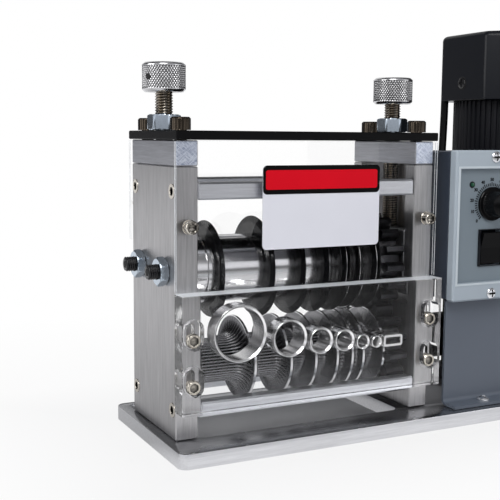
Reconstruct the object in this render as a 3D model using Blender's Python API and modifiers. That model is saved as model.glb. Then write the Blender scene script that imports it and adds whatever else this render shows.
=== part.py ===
"""Bench wire stripping machine: a grooved feed roller below, seven disc blades above, a motor at the end.

X runs along the rollers from the adjuster side to the motor, Y from the feeding side to the back, Z up.
Sizes are written from the outer face of the left end plate, the front of the end plates and the base's top.
"""
import math

import bmesh
import bpy
from mathutils import Matrix, Vector

mm = 0.001

# Clearances and small details shared by all pieces
seat = 0.3 * mm
overrun = 5 * mm
edge_break = 0.6 * mm
round_sides = 20
small_sides = 12
tube_sides = 24
roller_sides = 24

# Rollers, lanes and gears, from which the length of the frame follows
shaft_radius = 12.5 * mm
rim_radius = 28 * mm
rim_land = 1.2 * mm
groove_deepest = 13 * mm
groove_depth_share = 0.75
groove_root_share = 0.52
groove_steps = 2
roller_gap = 2 * mm
lane_widths = (
    42 * mm,
    27 * mm,
    19 * mm,
    17 * mm,
    12 * mm,
    9 * mm,
    16.6 * mm,
)
gear_gap = 1.3 * mm
gear_width = 14.5 * mm
gear_plate_gap = 2 * mm
gear_module = 4 * mm
gear_teeth = 15
gear_addendum_share = 0.75
gear_dedendum_share = 1.2
gear_backlash = 0.4 * mm
pressure_angle = math.radians(20)
axis_spread = 2 * mm
feed_axis = 41.5 * mm

# Blades and spacers on the upper shaft
first_blade_radius = 32 * mm
blade_radius = 34 * mm
blade_thick = 3 * mm
blade_bevel = 4 * mm
blade_sides = 28
spacer_radius = 22 * mm
clamp_ring_gap = 5.5 * mm
clamp_ring_long = 9.2 * mm
clamp_ring_groove = 0.6 * mm

# End plates with the pockets that the bearing blocks slide in
plate_thick = 15 * mm
plate_depth = 78 * mm
plate_height = 172.5 * mm
pocket_wall = 4 * mm
pocket_front = 10.5 * mm
stud_inset = 8 * mm
channel_radius = 6.5 * mm

# Bearing blocks
block_tall = 46 * mm
block_chamfer = 1 * mm
block_drop = 6.5 * mm

# Cap blocks and top plate
cap_height = 16 * mm
top_thick = 6 * mm
top_overhang = 1 * mm

# Tie bars between the end plates
tie_deep = 10 * mm
tie_tall = 11 * mm
lower_tie_low = 13.5 * mm
upper_tie_drop = 9.8 * mm
tie_chamfer = 1.2 * mm

# Base plate
base_thick = 10 * mm
base_left_lip = 7 * mm
base_right_lip = 5 * mm
base_front_lip = 25.5 * mm
base_back_lip = 19.5 * mm
base_corner = 10 * mm
chute_inset = 1 * mm
chute_gear_side = 8 * mm
chute_corner = 6 * mm
foot_hole_radius = 4 * mm
foot_hole_inset = 12.5 * mm
foot_hole_back = 8.5 * mm

# Feed plate and guide tubes
feed_plate_thick = 13 * mm
feed_plate_low = 18.9 * mm
feed_plate_tall = 75.4 * mm
tube_diameters = (
    36.2 * mm,
    24.3 * mm,
    17.4 * mm,
    14.6 * mm,
    10 * mm,
    8 * mm,
)
tube_walls = (
    1.5 * mm,
    1.5 * mm,
    1.5 * mm,
    1.5 * mm,
    1.2 * mm,
    1 * mm,
)
flat_tube_wide = 15 * mm
flat_tube_tall = 7.7 * mm
flat_tube_wall = 1.5 * mm
tube_rise = 32.1 * mm
tube_proud = 3.7 * mm
tube_behind = 4.3 * mm
slot_inset = 7.5 * mm
slot_wide = 12.2 * mm
slot_tall = 19.5 * mm
slot_rises = (
    21.6 * mm,
    50.8 * mm,
)
slot_sink = 7 * mm
slot_way = 5.6 * mm

# Clear guards
guard_thick = 4 * mm
guard_over_feed = 0.4 * mm
back_guard_tall = 68.5 * mm

# Height adjusters, their lock nuts and the cap screws
stud_radius = 6 * mm
neck_radius = 2.8 * mm
neck_length = 7 * mm
knob_radius = 14 * mm
knob_tall = 18.5 * mm
knob_chamfer = 1.5 * mm
left_knob_rise = 14.2 * mm
right_knob_rise = 10.2 * mm
grub_hole_radius = 2 * mm
grub_hole_deep = 5 * mm
lock_nut_tall = 10 * mm
lock_nut_flats = 19 * mm
cap_screw_inset = 7.5 * mm
cap_screw_edge = 10 * mm
cap_head_radius = 6.5 * mm
cap_head_tall = 8 * mm
cap_shank_radius = 4 * mm
cap_shank_long = 20 * mm
cap_socket_flats = 6 * mm
cap_socket_deep = 4 * mm

# Side set screws on the left end plate
side_screw_spread = 21 * mm
side_screw_rise = 2.5 * mm
side_screw_radius = 5 * mm
side_screw_out = 12 * mm
side_nut_thick = 5.5 * mm
side_nut_flats = 16.5 * mm
side_socket_flats = 5 * mm
side_socket_deep = 5 * mm

# Coupling and its shafts
coupling_radius = 16.8 * mm
coupling_long = 45 * mm
coupling_plate_gap = 7 * mm
coupling_gap = 3 * mm
coupling_neck = 13 * mm
shaft_in_coupling = 21 * mm
stub_radius = 9 * mm
stub_reach = 17 * mm

# Control box: frame, sunk window, dial and rocker
bezel_plate_gap = 9 * mm
bezel_edge = 1.2 * mm
bezel_low = 76.6 * mm
bezel_proud = 10 * mm
bezel_thick = 8 * mm
bezel_side = 3.9 * mm
bezel_end = 12.9 * mm
window_wide = 60 * mm
window_deep = 3 * mm
rocker_rise = 12.9 * mm
rocker_tall = 22.8 * mm
rocker_wide = 18 * mm
rocker_inset = 21.2 * mm
rocker_proud = 2.6 * mm
rocker_deep = 6 * mm
rocker_tilt = math.radians(7)
rocker_dish = 1.6 * mm
rocker_well = 1.2 * mm
rocker_well_deep = 12 * mm
dial_rise = 19.8 * mm
dial_over = 24.8 * mm
dial_inset = 30 * mm
dial_skirt_radius = 12 * mm
dial_skirt = 2.5 * mm
dial_grip_radius = 9 * mm
dial_tip_radius = 8.2 * mm
dial_tall = 12.5 * mm
dial_spindle_radius = 3 * mm
dial_spindle_long = 3.5 * mm
dial_groove = 1.2 * mm
case_deep = 36.7 * mm
case_shallow_deep = 10.2 * mm
case_deep_wide = 43.3 * mm
case_inset = 0.7 * mm

# Motor end: sheet panel, gearbox, motor, fan cover and lead
panel_step = 2.5 * mm
panel_wide = 140.5 * mm
panel_motor_gap = 1 * mm
panel_over = 0.4 * mm
sheet = 2 * mm
flange_deep = 14 * mm
bend_radius = 2.5 * mm
gearbox_gap = 14.5 * mm
gearbox_wide = 66 * mm
gearbox_shoulder = 98 * mm
gearbox_foot = 9 * mm
gearbox_foot_out = 6 * mm
gearbox_edge = 3 * mm
gearbox_flange_radius = 38 * mm
gearbox_flange_tall = 12 * mm
output_boss_radius = 24 * mm
output_boss_long = 5 * mm
motor_tall = 110 * mm
motor_radius = 41 * mm
fin_deep = 4 * mm
fin_count = 30
fin_share = 0.42
fan_over = 4 * mm
fan_corner = 20 * mm
fan_tall = 49 * mm
fan_edge = 6 * mm
lead_radius = 3 * mm
lead_inset = 3.1 * mm
lead_back = 24 * mm
lead_case_inset = 9 * mm
lead_drop = 44 * mm
lead_case_drop = 41.9 * mm
lead_end_pull = 24 * mm
lead_points = 16

# Places along the rollers: the rims between the grooves, and the middle of each lane
rim_start = plate_thick + roller_gap
rim_places = [rim_start]
for lane_width in lane_widths:
    rim_places.append(rim_places[-1] + lane_width)
lane_centres = [(left + right) / 2 for left, right in zip(rim_places, rim_places[1:])]
gear_left = rim_places[-1] + rim_land / 2 + gear_gap
frame_length = gear_left + gear_width + gear_plate_gap + plate_thick
axis_depth = plate_depth / 2
blade_axis = feed_axis + gear_module * gear_teeth + axis_spread
block_low = blade_axis - block_tall / 2
pocket_floor = block_low - block_drop

# Heights of the frame and the pieces on it
frame_top = plate_height + cap_height
table_top = frame_top + top_thick
upper_tie_low = plate_height - upper_tie_drop - tie_tall
feed_plate_high = feed_plate_low + feed_plate_tall
front_guard_low = feed_plate_high + guard_over_feed
back_guard_low = frame_top - back_guard_tall
tube_bottom = feed_plate_low + tube_rise
tube_front = -seat - feed_plate_thick - tube_proud
tube_back = tube_behind - seat
left_knob_low = table_top + seat + lock_nut_tall + left_knob_rise
right_knob_low = table_top + seat + lock_nut_tall + right_knob_rise
side_screw_tip = -side_screw_out
side_screw_height = blade_axis + side_screw_rise

# Places of the motor end, whose sheet panel stands just in front of the motor
motor_y = axis_depth
panel_face = motor_y - motor_radius - panel_motor_gap - sheet
bezel_face = panel_face - bezel_proud
coupling_left = frame_length + coupling_plate_gap
coupling_right = coupling_left + coupling_long
bezel_left = frame_length + bezel_plate_gap
window_left = bezel_left + bezel_side
window_right = window_left + window_wide
bezel_right = window_right + bezel_side
window_low = bezel_low + bezel_end
rocker_low = window_low + rocker_rise
rocker_high = rocker_low + rocker_tall
dial_height = rocker_high + dial_rise
window_high = dial_height + dial_over
bezel_high = window_high + bezel_end
rocker_left = window_left + rocker_inset
rocker_right = rocker_left + rocker_wide
rocker_x = (rocker_left + rocker_right) / 2
rocker_z = (rocker_low + rocker_high) / 2
dial_x = window_left + dial_inset
window_face = bezel_face + window_deep
bezel_back = bezel_face + bezel_thick
case_back = bezel_back + seat + case_deep
case_shallow_back = bezel_back + seat + case_shallow_deep
panel_left = bezel_left + panel_step
panel_right = panel_left + panel_wide
panel_high = bezel_high + panel_over
motor_x = coupling_right + gearbox_gap + gearbox_wide / 2
motor_low = gearbox_shoulder + gearbox_flange_tall
motor_high = motor_low + motor_tall
fan_half = motor_radius + fan_over
fan_high = motor_high + fan_tall

# The base reaches past the frame in front, behind and at the left, and past the panel at the right
base_left = -base_left_lip
base_right = panel_right + base_right_lip
base_front = -base_front_lip
base_back = plate_depth + base_back_lip
origin_x = (side_screw_tip + base_right) / 2
origin_y = (base_front + base_back) / 2

colours = {
    "base_plate": (0.72, 0.73, 0.74, 0.3, 1),
    "end_plate": (0.5, 0.5, 0.5, 0.4, 1),
    "black_metal": (0.02, 0.02, 0.022, 0.45, 0.3),
    "clear": (0.8, 0.85, 0.85, 0.08, 0),
    "tie_bar": (0.6, 0.6, 0.6, 0.35, 1),
    "housing": (0.16, 0.2, 0.23, 0.5, 0),
    "bezel": (0.45, 0.5, 0.53, 0.5, 0),
    "black_plastic": (0.02, 0.02, 0.02, 0.5, 0),
    "cast": (0.03, 0.03, 0.032, 0.6, 0.2),
    "screw": (0.06, 0.06, 0.06, 0.4, 0.8),
    "zinc": (0.5, 0.55, 0.62, 0.3, 1),
    "bronze_block": (0.3, 0.3, 0.3, 0.45, 1),
    "polished": (0.75, 0.75, 0.76, 0.15, 1),
    "blade": (0.04, 0.04, 0.045, 0.3, 0.9),
    "dark_steel": (0.09, 0.09, 0.095, 0.4, 1),
    "satin_steel": (0.6, 0.6, 0.6, 0.3, 1),
}

for old in list(bpy.data.objects):
    bpy.data.objects.remove(old)

model = bpy.data.collections.new("wire_stripping_machine")
cutters = bpy.data.collections.new("cutters")
bpy.context.scene.collection.children.link(model)
bpy.context.scene.collection.children.link(cutters)

machine = bpy.data.objects.new("machine", None)
machine.location = (-origin_x, -origin_y, base_thick)
model.objects.link(machine)

TURN = {
    "X": Matrix.Rotation(math.radians(90), 4, "Y"),
    "Y": Matrix.Rotation(math.radians(-90), 4, "X"),
    "Z": Matrix.Identity(4),
}
LAY = {
    "X": Matrix(((0, 0, 1, 0), (1, 0, 0, 0), (0, 1, 0, 0), (0, 0, 0, 1))),
    "Y": Matrix(((1, 0, 0, 0), (0, 0, -1, 0), (0, 1, 0, 0), (0, 0, 0, 1))),
    "Z": Matrix.Identity(4),
}


def paint(piece, colour):
    """Give a piece its own Principled material."""
    red, green, blue, rough, metal = colours[colour]
    surface = bpy.data.materials.new(piece.name)
    surface.use_nodes = True
    shader = surface.node_tree.nodes["Principled BSDF"]
    shader.inputs["Base Color"].default_value = (red, green, blue, 1)
    shader.inputs["Roughness"].default_value = rough
    shader.inputs["Metallic"].default_value = metal
    piece.data.materials.clear()
    piece.data.materials.append(surface)


def place(name, mesh, colour, at=(0, 0, 0), turn=None):
    """Add a mesh to the model, or to the cutters when it has no colour."""
    piece = bpy.data.objects.new(name, mesh)
    piece.parent = machine
    piece.matrix_local = Matrix.Translation(at) @ (turn or Matrix.Identity(4))
    if colour is None:
        cutters.objects.link(piece)
        piece.hide_render = True
        piece.display_type = "WIRE"
    else:
        model.objects.link(piece)
        paint(piece, colour)
    return piece


def smooth(piece):
    """Shade round faces smooth and keep the hard edges."""
    piece.data.shade_smooth()
    piece.data.set_sharp_from_angle(angle=math.radians(35))


def soften(piece, width, segments=1, angle=math.radians(60)):
    """Break the hard edges."""
    bevel = piece.modifiers.new("edges", "BEVEL")
    bevel.width = width
    bevel.segments = segments
    bevel.limit_method = "ANGLE"
    bevel.angle_limit = angle


def box(name, low, high, colour=None, edge=0, segments=1):
    """A block between two corners, with its origin at its centre."""
    low = Vector(low)
    high = Vector(high)
    size = high - low
    mesh = bpy.data.meshes.new(name)
    form = bmesh.new()
    bmesh.ops.create_cube(form, size=1, matrix=Matrix.Diagonal((*size, 1)))
    form.to_mesh(mesh)
    form.free()
    piece = place(name, mesh, colour, (low + high) / 2)
    if edge:
        soften(piece, edge, segments)
    return piece


def rod(name, radius, at, length, axis="Z", colour=None, sides=round_sides):
    """A cylinder from a point along an axis; six sides make a hexagon, with radius to its corners."""
    mesh = bpy.data.meshes.new(name)
    form = bmesh.new()
    bmesh.ops.create_cone(
        form, cap_ends=True, segments=sides, radius1=radius, radius2=radius, depth=length,
        matrix=Matrix.Translation((0, 0, length / 2)),
    )
    form.to_mesh(mesh)
    form.free()
    return place(name, mesh, colour, at, TURN[axis])


def turned(name, outer, at, axis="Z", colour=None, bore=0, sides=round_sides):
    """A turned piece from (height, radius) points, low end first, with a bore if one is given."""
    top_down = [(radius, 0, height) for height, radius in reversed(outer)]
    closed = bore > 0
    if closed:
        top_down.append((bore, 0, outer[0][0]))
        top_down.append((bore, 0, outer[-1][0]))
    else:
        top_down.insert(0, (0, 0, outer[-1][0]))
        top_down.append((0, 0, outer[0][0]))
    count = len(top_down)
    edges = [(index, index + 1) for index in range(count - 1)]
    if closed:
        edges.append((count - 1, 0))
    mesh = bpy.data.meshes.new(name)
    mesh.from_pydata(top_down, edges, [])
    piece = place(name, mesh, colour, at, TURN[axis])
    screw = piece.modifiers.new("turn", "SCREW")
    screw.steps = sides
    screw.render_steps = sides
    screw.use_merge_vertices = True
    screw.merge_threshold = 0.00001
    screw.use_smooth_shade = True
    return piece


def outline(name, loops, low, high, axis="Z", colour=None, at=(0, 0, 0)):
    """A flat outline with its holes, given a thickness along an axis."""
    curve = bpy.data.curves.new(name, "CURVE")
    curve.dimensions = "2D"
    curve.fill_mode = "BOTH"
    curve.extrude = (high - low) / 2
    for loop in loops:
        spline = curve.splines.new("POLY")
        spline.points.add(len(loop) - 1)
        for point, (u, v) in zip(spline.points, loop):
            point.co = (u, v, 0, 1)
        spline.use_cyclic_u = True
    middle = (low + high) / 2
    sign = -1 if axis == "Y" else 1
    lift = Matrix.Translation((0, 0, sign * middle))
    return as_mesh(name, curve, colour, at, LAY[axis] @ lift)


def as_mesh(name, curve, colour, at, turn):
    """Make a mesh piece from a curve and drop the curve."""
    drawn = bpy.data.objects.new(name + "_line", curve)
    bpy.context.scene.collection.objects.link(drawn)
    bpy.context.view_layer.update()
    ready = drawn.evaluated_get(bpy.context.evaluated_depsgraph_get())
    mesh = bpy.data.meshes.new_from_object(ready)
    mesh.name = name
    bpy.data.objects.remove(drawn)
    form = bmesh.new()
    form.from_mesh(mesh)
    bmesh.ops.remove_doubles(form, verts=form.verts, dist=0.000001)
    bmesh.ops.dissolve_limit(form, angle_limit=math.radians(1), verts=form.verts, edges=form.edges)
    bmesh.ops.recalc_face_normals(form, faces=form.faces)
    form.transform(turn)
    form.to_mesh(mesh)
    form.free()
    return place(name, mesh, colour, at)


def combine(piece, tool, operation):
    """Cut a tool from a piece, or join it on."""
    step = piece.modifiers.new(tool.name, "BOOLEAN")
    step.operation = operation
    step.object = tool
    if tool.name not in cutters.objects:
        model.objects.unlink(tool)
        cutters.objects.link(tool)
    tool.hide_render = True
    tool.display_type = "WIRE"
    return piece


def cut(piece, tool):
    return combine(piece, tool, "DIFFERENCE")


def join(piece, tool):
    return combine(piece, tool, "UNION")


def rounded(left, right, low, high, radius, steps=4):
    """The outline of a rectangle with round corners."""
    corners = (
        (right - radius, high - radius, 0),
        (left + radius, high - radius, 1),
        (left + radius, low + radius, 2),
        (right - radius, low + radius, 3),
    )
    points = []
    for u, v, quarter in corners:
        for step in range(steps + 1):
            angle = (quarter + step / steps) * math.pi / 2
            points.append((u + radius * math.cos(angle), v + radius * math.sin(angle)))
    return points


def ring(u, v, radius, sides=round_sides):
    """The outline of a circle."""
    turns = [math.tau * step / sides for step in range(sides)]
    return [(u + radius * math.cos(turn), v + radius * math.sin(turn)) for turn in turns]


def across_flats(flats):
    """The corner radius of a hexagon."""
    return flats / 2 / math.cos(math.pi / 6)


def mirrored(x, side):
    """A place measured from the outer face of the left or the right end plate."""
    return x if side == "left" else frame_length - x


def gear_outline():
    """A spur gear's outline with one tooth pointing up, flanks on the involute."""
    pitch = gear_module * gear_teeth / 2
    base = pitch * math.cos(pressure_angle)
    tip = pitch + gear_addendum_share * gear_module
    root = pitch - gear_dedendum_share * gear_module
    involute = math.tan(pressure_angle) - pressure_angle
    half_tooth = math.pi / gear_teeth / 2 - gear_backlash / pitch / 2

    def half_angle(radius):
        slope = math.acos(min(1, base / radius))
        return half_tooth + involute - (math.tan(slope) - slope)

    flank = [(root, half_angle(base))]
    for step in range(3):
        radius = base + (tip - base) * step / 2
        flank.append((radius, half_angle(radius)))
    points = []
    for tooth in range(gear_teeth):
        middle = math.pi / 2 + math.tau * tooth / gear_teeth
        for radius, half in flank:
            points.append((radius * math.cos(middle - half), radius * math.sin(middle - half)))
        for radius, half in reversed(flank):
            points.append((radius * math.cos(middle + half), radius * math.sin(middle + half)))
    return points


def fin_outline():
    """The finned outline of the motor body."""
    points = []
    pitch = math.tau / fin_count
    half = pitch * fin_share / 2
    for fin in range(fin_count):
        for radius, turn in (
            (motor_radius - fin_deep, -half),
            (motor_radius, -half),
            (motor_radius, half),
            (motor_radius - fin_deep, half),
        ):
            angle = fin * pitch + turn
            points.append((motor_x + radius * math.cos(angle), motor_y + radius * math.sin(angle)))
    return points


# Base plate with the chute under the rollers and the bench holes at the corners
base_loops = [
    rounded(base_left, base_right, base_front, base_back, base_corner),
    rounded(
        plate_thick + chute_inset, frame_length - plate_thick - chute_gear_side, chute_inset,
        plate_depth - chute_inset, chute_corner,
    ),
]
for u in (base_left + foot_hole_inset, base_right - foot_hole_inset):
    base_loops.append(ring(u, base_back - foot_hole_back, foot_hole_radius, small_sides))
base = outline("base_plate", base_loops, -base_thick, 0, "Z", "base_plate")
soften(base, edge_break)

# End plates
for side in ("left", "right"):
    outer = mirrored(0, side)
    inner = mirrored(plate_thick, side)
    low_x = min(outer, inner)
    high_x = max(outer, inner)
    plate = box(
        side + "_end_plate", (low_x, 0, seat), (high_x, plate_depth, plate_height), "end_plate", edge_break
    )
    floor = mirrored(pocket_wall, side)
    past = mirrored(plate_thick + overrun, side)
    cut(plate, box(
        side + "_pocket",
        (min(floor, past), pocket_front, pocket_floor),
        (max(floor, past), plate_depth - pocket_front, plate_height + overrun),
    ))
    cut(plate, rod(
        side + "_stud_channel", channel_radius, (mirrored(stud_inset, side), axis_depth, pocket_floor),
        plate_height - pocket_floor + overrun,
    ))
    bore_start = pocket_wall if side == "left" else frame_length - plate_thick - overrun
    cut(plate, rod(
        side + "_shaft_bore", shaft_radius + seat, (bore_start, axis_depth, feed_axis),
        plate_thick + 2 * overrun, "X",
    ))

# Cap blocks and top plate
for side in ("left", "right"):
    outer = mirrored(0, side)
    inner = mirrored(plate_thick, side)
    block = box(
        side + "_cap_block", (min(outer, inner), 0, plate_height + seat),
        (max(outer, inner), plate_depth, frame_top), "end_plate", edge_break,
    )
    cut(block, rod(
        side + "_cap_way", stud_radius + seat, (mirrored(stud_inset, side), axis_depth, plate_height - overrun),
        cap_height + 2 * overrun,
    ))

guard_back = plate_depth + seat + guard_thick
guard_front = -seat - guard_thick
top = box(
    "top_plate", (-top_overhang, guard_front, frame_top + seat),
    (frame_length + top_overhang, guard_back, table_top), "black_metal", edge_break,
)
for side in ("left", "right"):
    cut(top, rod(
        side + "_top_way", stud_radius + seat, (mirrored(stud_inset, side), axis_depth, frame_top - overrun),
        top_thick + 2 * overrun,
    ))

# Cap screws through the top plate into the cap blocks
cap_places = []
for side in ("left", "right"):
    for turn in (-1, 1):
        cap_places.append((side, mirrored(cap_screw_inset, side), axis_depth + turn * (axis_depth - cap_screw_edge)))
for number, (side, u, v) in enumerate(cap_places, 1):
    head_low = table_top + seat
    screw = turned(
        f"cap_screw_{number}",
        [
            (-cap_shank_long, cap_shank_radius),
            (0, cap_shank_radius),
            (0, cap_head_radius),
            (cap_head_tall - edge_break, cap_head_radius),
            (cap_head_tall, cap_head_radius - edge_break),
        ],
        (u, v, head_low), "Z", "screw", sides=small_sides,
    )
    cut(screw, rod(
        f"cap_socket_{number}", across_flats(cap_socket_flats), (u, v, head_low + cap_head_tall - cap_socket_deep),
        cap_socket_deep + overrun, sides=6,
    ))
    way = rod(
        f"cap_hole_{number}", cap_shank_radius + seat, (u, v, head_low - cap_shank_long - seat),
        cap_shank_long + overrun, sides=small_sides,
    )
    cut(top, way)
    cut(bpy.data.objects[side + "_cap_block"], way)

# Tie bars
for height, low in (("lower", lower_tie_low), ("upper", upper_tie_low)):
    for end, start in (("front", 0), ("rear", plate_depth - tie_deep)):
        box(
            f"{height}_{end}_tie_bar", (plate_thick + seat, start, low),
            (frame_length - plate_thick - seat, start + tie_deep, low + tie_tall), "tie_bar", tie_chamfer,
        )

# Clear guards
box(
    "front_guard", (-top_overhang, guard_front, front_guard_low),
    (frame_length + top_overhang, -seat, frame_top), "clear", edge_break,
)
box(
    "rear_guard", (-top_overhang, plate_depth + seat, back_guard_low),
    (frame_length + top_overhang, guard_back, frame_top), "clear", edge_break,
)

# Bearing blocks that carry the blade shaft and slide in the pockets
for side in ("left", "right"):
    outer = mirrored(pocket_wall + seat, side)
    inner = mirrored(plate_thick - seat, side)
    block = box(
        side + "_bearing_block",
        (min(outer, inner), pocket_front + seat, block_low),
        (max(outer, inner), plate_depth - pocket_front - seat, block_low + block_tall),
        "bronze_block", block_chamfer,
    )
    cut(block, rod(
        side + "_block_bore", shaft_radius + seat, (min(outer, inner) - overrun, axis_depth, blade_axis),
        plate_thick + 2 * overrun, "X",
    ))
    cut(block, rod(
        side + "_neck_hole", neck_radius + seat,
        (mirrored(stud_inset, side), axis_depth, block_low + block_tall - neck_length - seat),
        neck_length + overrun, sides=small_sides,
    ))

# Height adjusters: neck in the bearing block, thread, knob
for side, knob_low in (("left", left_knob_low), ("right", right_knob_low)):
    u = mirrored(stud_inset, side)
    foot = block_low + block_tall + seat
    knob_top = knob_low + knob_tall
    adjuster = turned(
        side + "_adjuster",
        [
            (foot - neck_length - seat, neck_radius),
            (foot, neck_radius),
            (foot, stud_radius - edge_break),
            (foot + edge_break, stud_radius),
            (knob_low, stud_radius),
            (knob_low, knob_radius - knob_chamfer),
            (knob_low + knob_chamfer, knob_radius),
            (knob_top - knob_chamfer, knob_radius),
            (knob_top, knob_radius - knob_chamfer),
        ],
        (u, axis_depth, 0), "Z", "screw",
    )
    cut(adjuster, rod(
        side + "_grub_hole", grub_hole_radius,
        (u, axis_depth - knob_radius - overrun, knob_low + knob_tall / 2), overrun + grub_hole_deep, "Y", sides=12,
    ))
    nut_low = table_top + seat
    nut = rod(
        side + "_lock_nut", across_flats(lock_nut_flats), (u, axis_depth, nut_low), lock_nut_tall, "Z", "zinc", 6
    )
    dress = turned(
        side + "_nut_dress",
        [
            (0, lock_nut_flats / 2),
            (edge_break, across_flats(lock_nut_flats)),
            (lock_nut_tall - edge_break, across_flats(lock_nut_flats)),
            (lock_nut_tall, lock_nut_flats / 2),
        ],
        (u, axis_depth, nut_low), sides=24,
    )
    combine(nut, dress, "INTERSECT")
    cut(nut, rod(
        side + "_nut_way", stud_radius + seat, (u, axis_depth, nut_low - overrun), lock_nut_tall + 2 * overrun
    ))

# Side set screws with jam nuts, pressing on the left bearing block through the pocket wall
for number, turn in ((1, -1), (2, 1)):
    v = axis_depth + turn * side_screw_spread
    screw = turned(
        f"side_set_screw_{number}",
        [
            (side_screw_tip, side_screw_radius - edge_break),
            (side_screw_tip + edge_break, side_screw_radius),
            (pocket_wall - edge_break, side_screw_radius),
            (pocket_wall, side_screw_radius - edge_break),
        ],
        (0, v, side_screw_height), "X", "screw", sides=small_sides,
    )
    join(screw, rod(
        f"side_nut_{number}", across_flats(side_nut_flats), (-seat - side_nut_thick, v, side_screw_height),
        side_nut_thick, "X", sides=6,
    ))
    cut(screw, rod(
        f"side_socket_{number}", across_flats(side_socket_flats), (side_screw_tip - overrun, v, side_screw_height),
        side_socket_deep + overrun, "X", sides=6,
    ))
    cut(bpy.data.objects["left_end_plate"], rod(
        f"side_way_{number}", side_screw_radius + seat, (-overrun, v, side_screw_height),
        pocket_wall + 2 * overrun, "X", sides=small_sides,
    ))

# Lower shaft, grooved feed roller, gear and coupling
drive_at = (0, axis_depth, feed_axis)
shaft_right = coupling_left + shaft_in_coupling
turned(
    "drive_shaft",
    [
        (pocket_wall + seat, shaft_radius - edge_break),
        (pocket_wall + seat + edge_break, shaft_radius),
        (shaft_right - edge_break, shaft_radius),
        (shaft_right, shaft_radius - edge_break),
    ],
    drive_at, "X", "polished",
)

roller_profile = [(rim_places[0] - rim_land / 2, rim_radius)]
for left, right in zip(rim_places, rim_places[1:]):
    start = left + rim_land / 2
    end = right - rim_land / 2
    wide = end - start
    deep = min(groove_deepest, groove_depth_share * wide)
    flare = wide * (1 - groove_root_share) / 2
    roller_profile.append((start, rim_radius))
    for step in range(1, groove_steps + 1):
        angle = math.pi / 2 * step / groove_steps
        roller_profile.append((start + flare * (1 - math.cos(angle)), rim_radius - deep * math.sin(angle)))
    for step in range(groove_steps, 0, -1):
        angle = math.pi / 2 * step / groove_steps
        roller_profile.append((end - flare * (1 - math.cos(angle)), rim_radius - deep * math.sin(angle)))
    roller_profile.append((end, rim_radius))
roller_profile.append((rim_places[-1] + rim_land / 2, rim_radius))
turned(
    "feed_roller", roller_profile, drive_at, "X", "dark_steel", bore=shaft_radius + seat, sides=roller_sides
)

for name, height in (("drive_gear", feed_axis), ("blade_gear", blade_axis)):
    outline(
        name, [gear_outline(), ring(0, 0, shaft_radius + seat)], gear_left, gear_left + gear_width, "X",
        "dark_steel", (0, axis_depth, height),
    )

coupling_middle = (coupling_left + coupling_right) / 2
coupling = turned(
    "coupling",
    [
        (coupling_left, coupling_radius - edge_break),
        (coupling_left + edge_break, coupling_radius),
        (coupling_middle - coupling_gap / 2, coupling_radius),
        (coupling_middle - coupling_gap / 2, coupling_neck),
        (coupling_middle + coupling_gap / 2, coupling_neck),
        (coupling_middle + coupling_gap / 2, coupling_radius),
        (coupling_right - edge_break, coupling_radius),
        (coupling_right, coupling_radius - edge_break),
    ],
    drive_at, "X", "black_metal",
)
cut(coupling, rod(
    "coupling_bore", shaft_radius + seat, (coupling_left - overrun, axis_depth, feed_axis),
    shaft_in_coupling + seat + overrun, "X",
))
cut(coupling, rod(
    "coupling_stub_bore", stub_radius + seat, (coupling_right - stub_reach - seat, axis_depth, feed_axis),
    stub_reach + seat + overrun, "X",
))

# Blade shaft with its clamp rings, blades and spacers
blade_at = (0, axis_depth, blade_axis)
ring_left = plate_thick + clamp_ring_gap
ring_split = ring_left + clamp_ring_long
stack_left = lane_centres[0] - blade_thick / 2 - seat
stack_right = lane_centres[-1] + blade_thick / 2 + seat
shaft_end = frame_length - pocket_wall - 2 * seat
turned(
    "blade_shaft",
    [
        (pocket_wall + 2 * seat, shaft_radius - edge_break),
        (pocket_wall + 2 * seat + edge_break, shaft_radius),
        (ring_left, shaft_radius),
        (ring_left, spacer_radius),
        (ring_split - clamp_ring_groove, spacer_radius),
        (ring_split, spacer_radius - clamp_ring_groove),
        (ring_split + clamp_ring_groove, spacer_radius),
        (stack_left, spacer_radius),
        (stack_left, shaft_radius),
        (stack_right, shaft_radius),
        (stack_right, spacer_radius),
        (gear_left - seat, spacer_radius),
        (gear_left - seat, shaft_radius),
        (shaft_end - edge_break, shaft_radius),
        (shaft_end, shaft_radius - edge_break),
    ],
    blade_at, "X", "polished", sides=roller_sides,
)
for number, centre in enumerate(lane_centres, 1):
    radius = first_blade_radius if number == 1 else blade_radius
    half = blade_thick / 2
    turned(
        f"blade_{number}",
        [
            (centre - half, radius - blade_bevel),
            (centre, radius),
            (centre + half, radius - blade_bevel),
        ],
        blade_at, "X", "blade", bore=shaft_radius + seat, sides=blade_sides,
    )
for number, (left, right) in enumerate(zip(lane_centres, lane_centres[1:]), 1):
    start = left + blade_thick / 2 + seat
    end = right - blade_thick / 2 - seat
    turned(
        f"blade_spacer_{number}",
        [
            (start, spacer_radius),
            (end, spacer_radius),
        ],
        blade_at, "X", "polished", bore=shaft_radius + seat, sides=roller_sides,
    )

# Feed plate with its slots, and the guide tubes set in it
feed_back = -seat
feed_front = feed_back - feed_plate_thick
feed = box(
    "feed_plate", (-top_overhang, feed_front, feed_plate_low),
    (frame_length + top_overhang, feed_back, feed_plate_high), "clear", edge_break,
)
tube_long = tube_back - tube_front
tube_outlines = []
for diameter, wall in zip(tube_diameters, tube_walls):
    tube_outlines.append((diameter / 2, wall))
for number, (radius, wall) in enumerate(tube_outlines, 1):
    centre = lane_centres[number - 1]
    middle = tube_bottom + radius
    sides = tube_sides if radius > shaft_radius / 2 else small_sides
    turned(
        f"guide_tube_{number}",
        [
            (0, radius),
            (tube_long, radius),
        ],
        (centre, tube_front, middle), "Y", "satin_steel", bore=radius - wall, sides=sides,
    )
    cut(feed, rod(
        f"tube_way_{number}", radius + seat, (centre, feed_front - overrun, middle),
        feed_plate_thick + 2 * overrun, "Y", sides=sides,
    ))
flat_x = lane_centres[-1]
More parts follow.
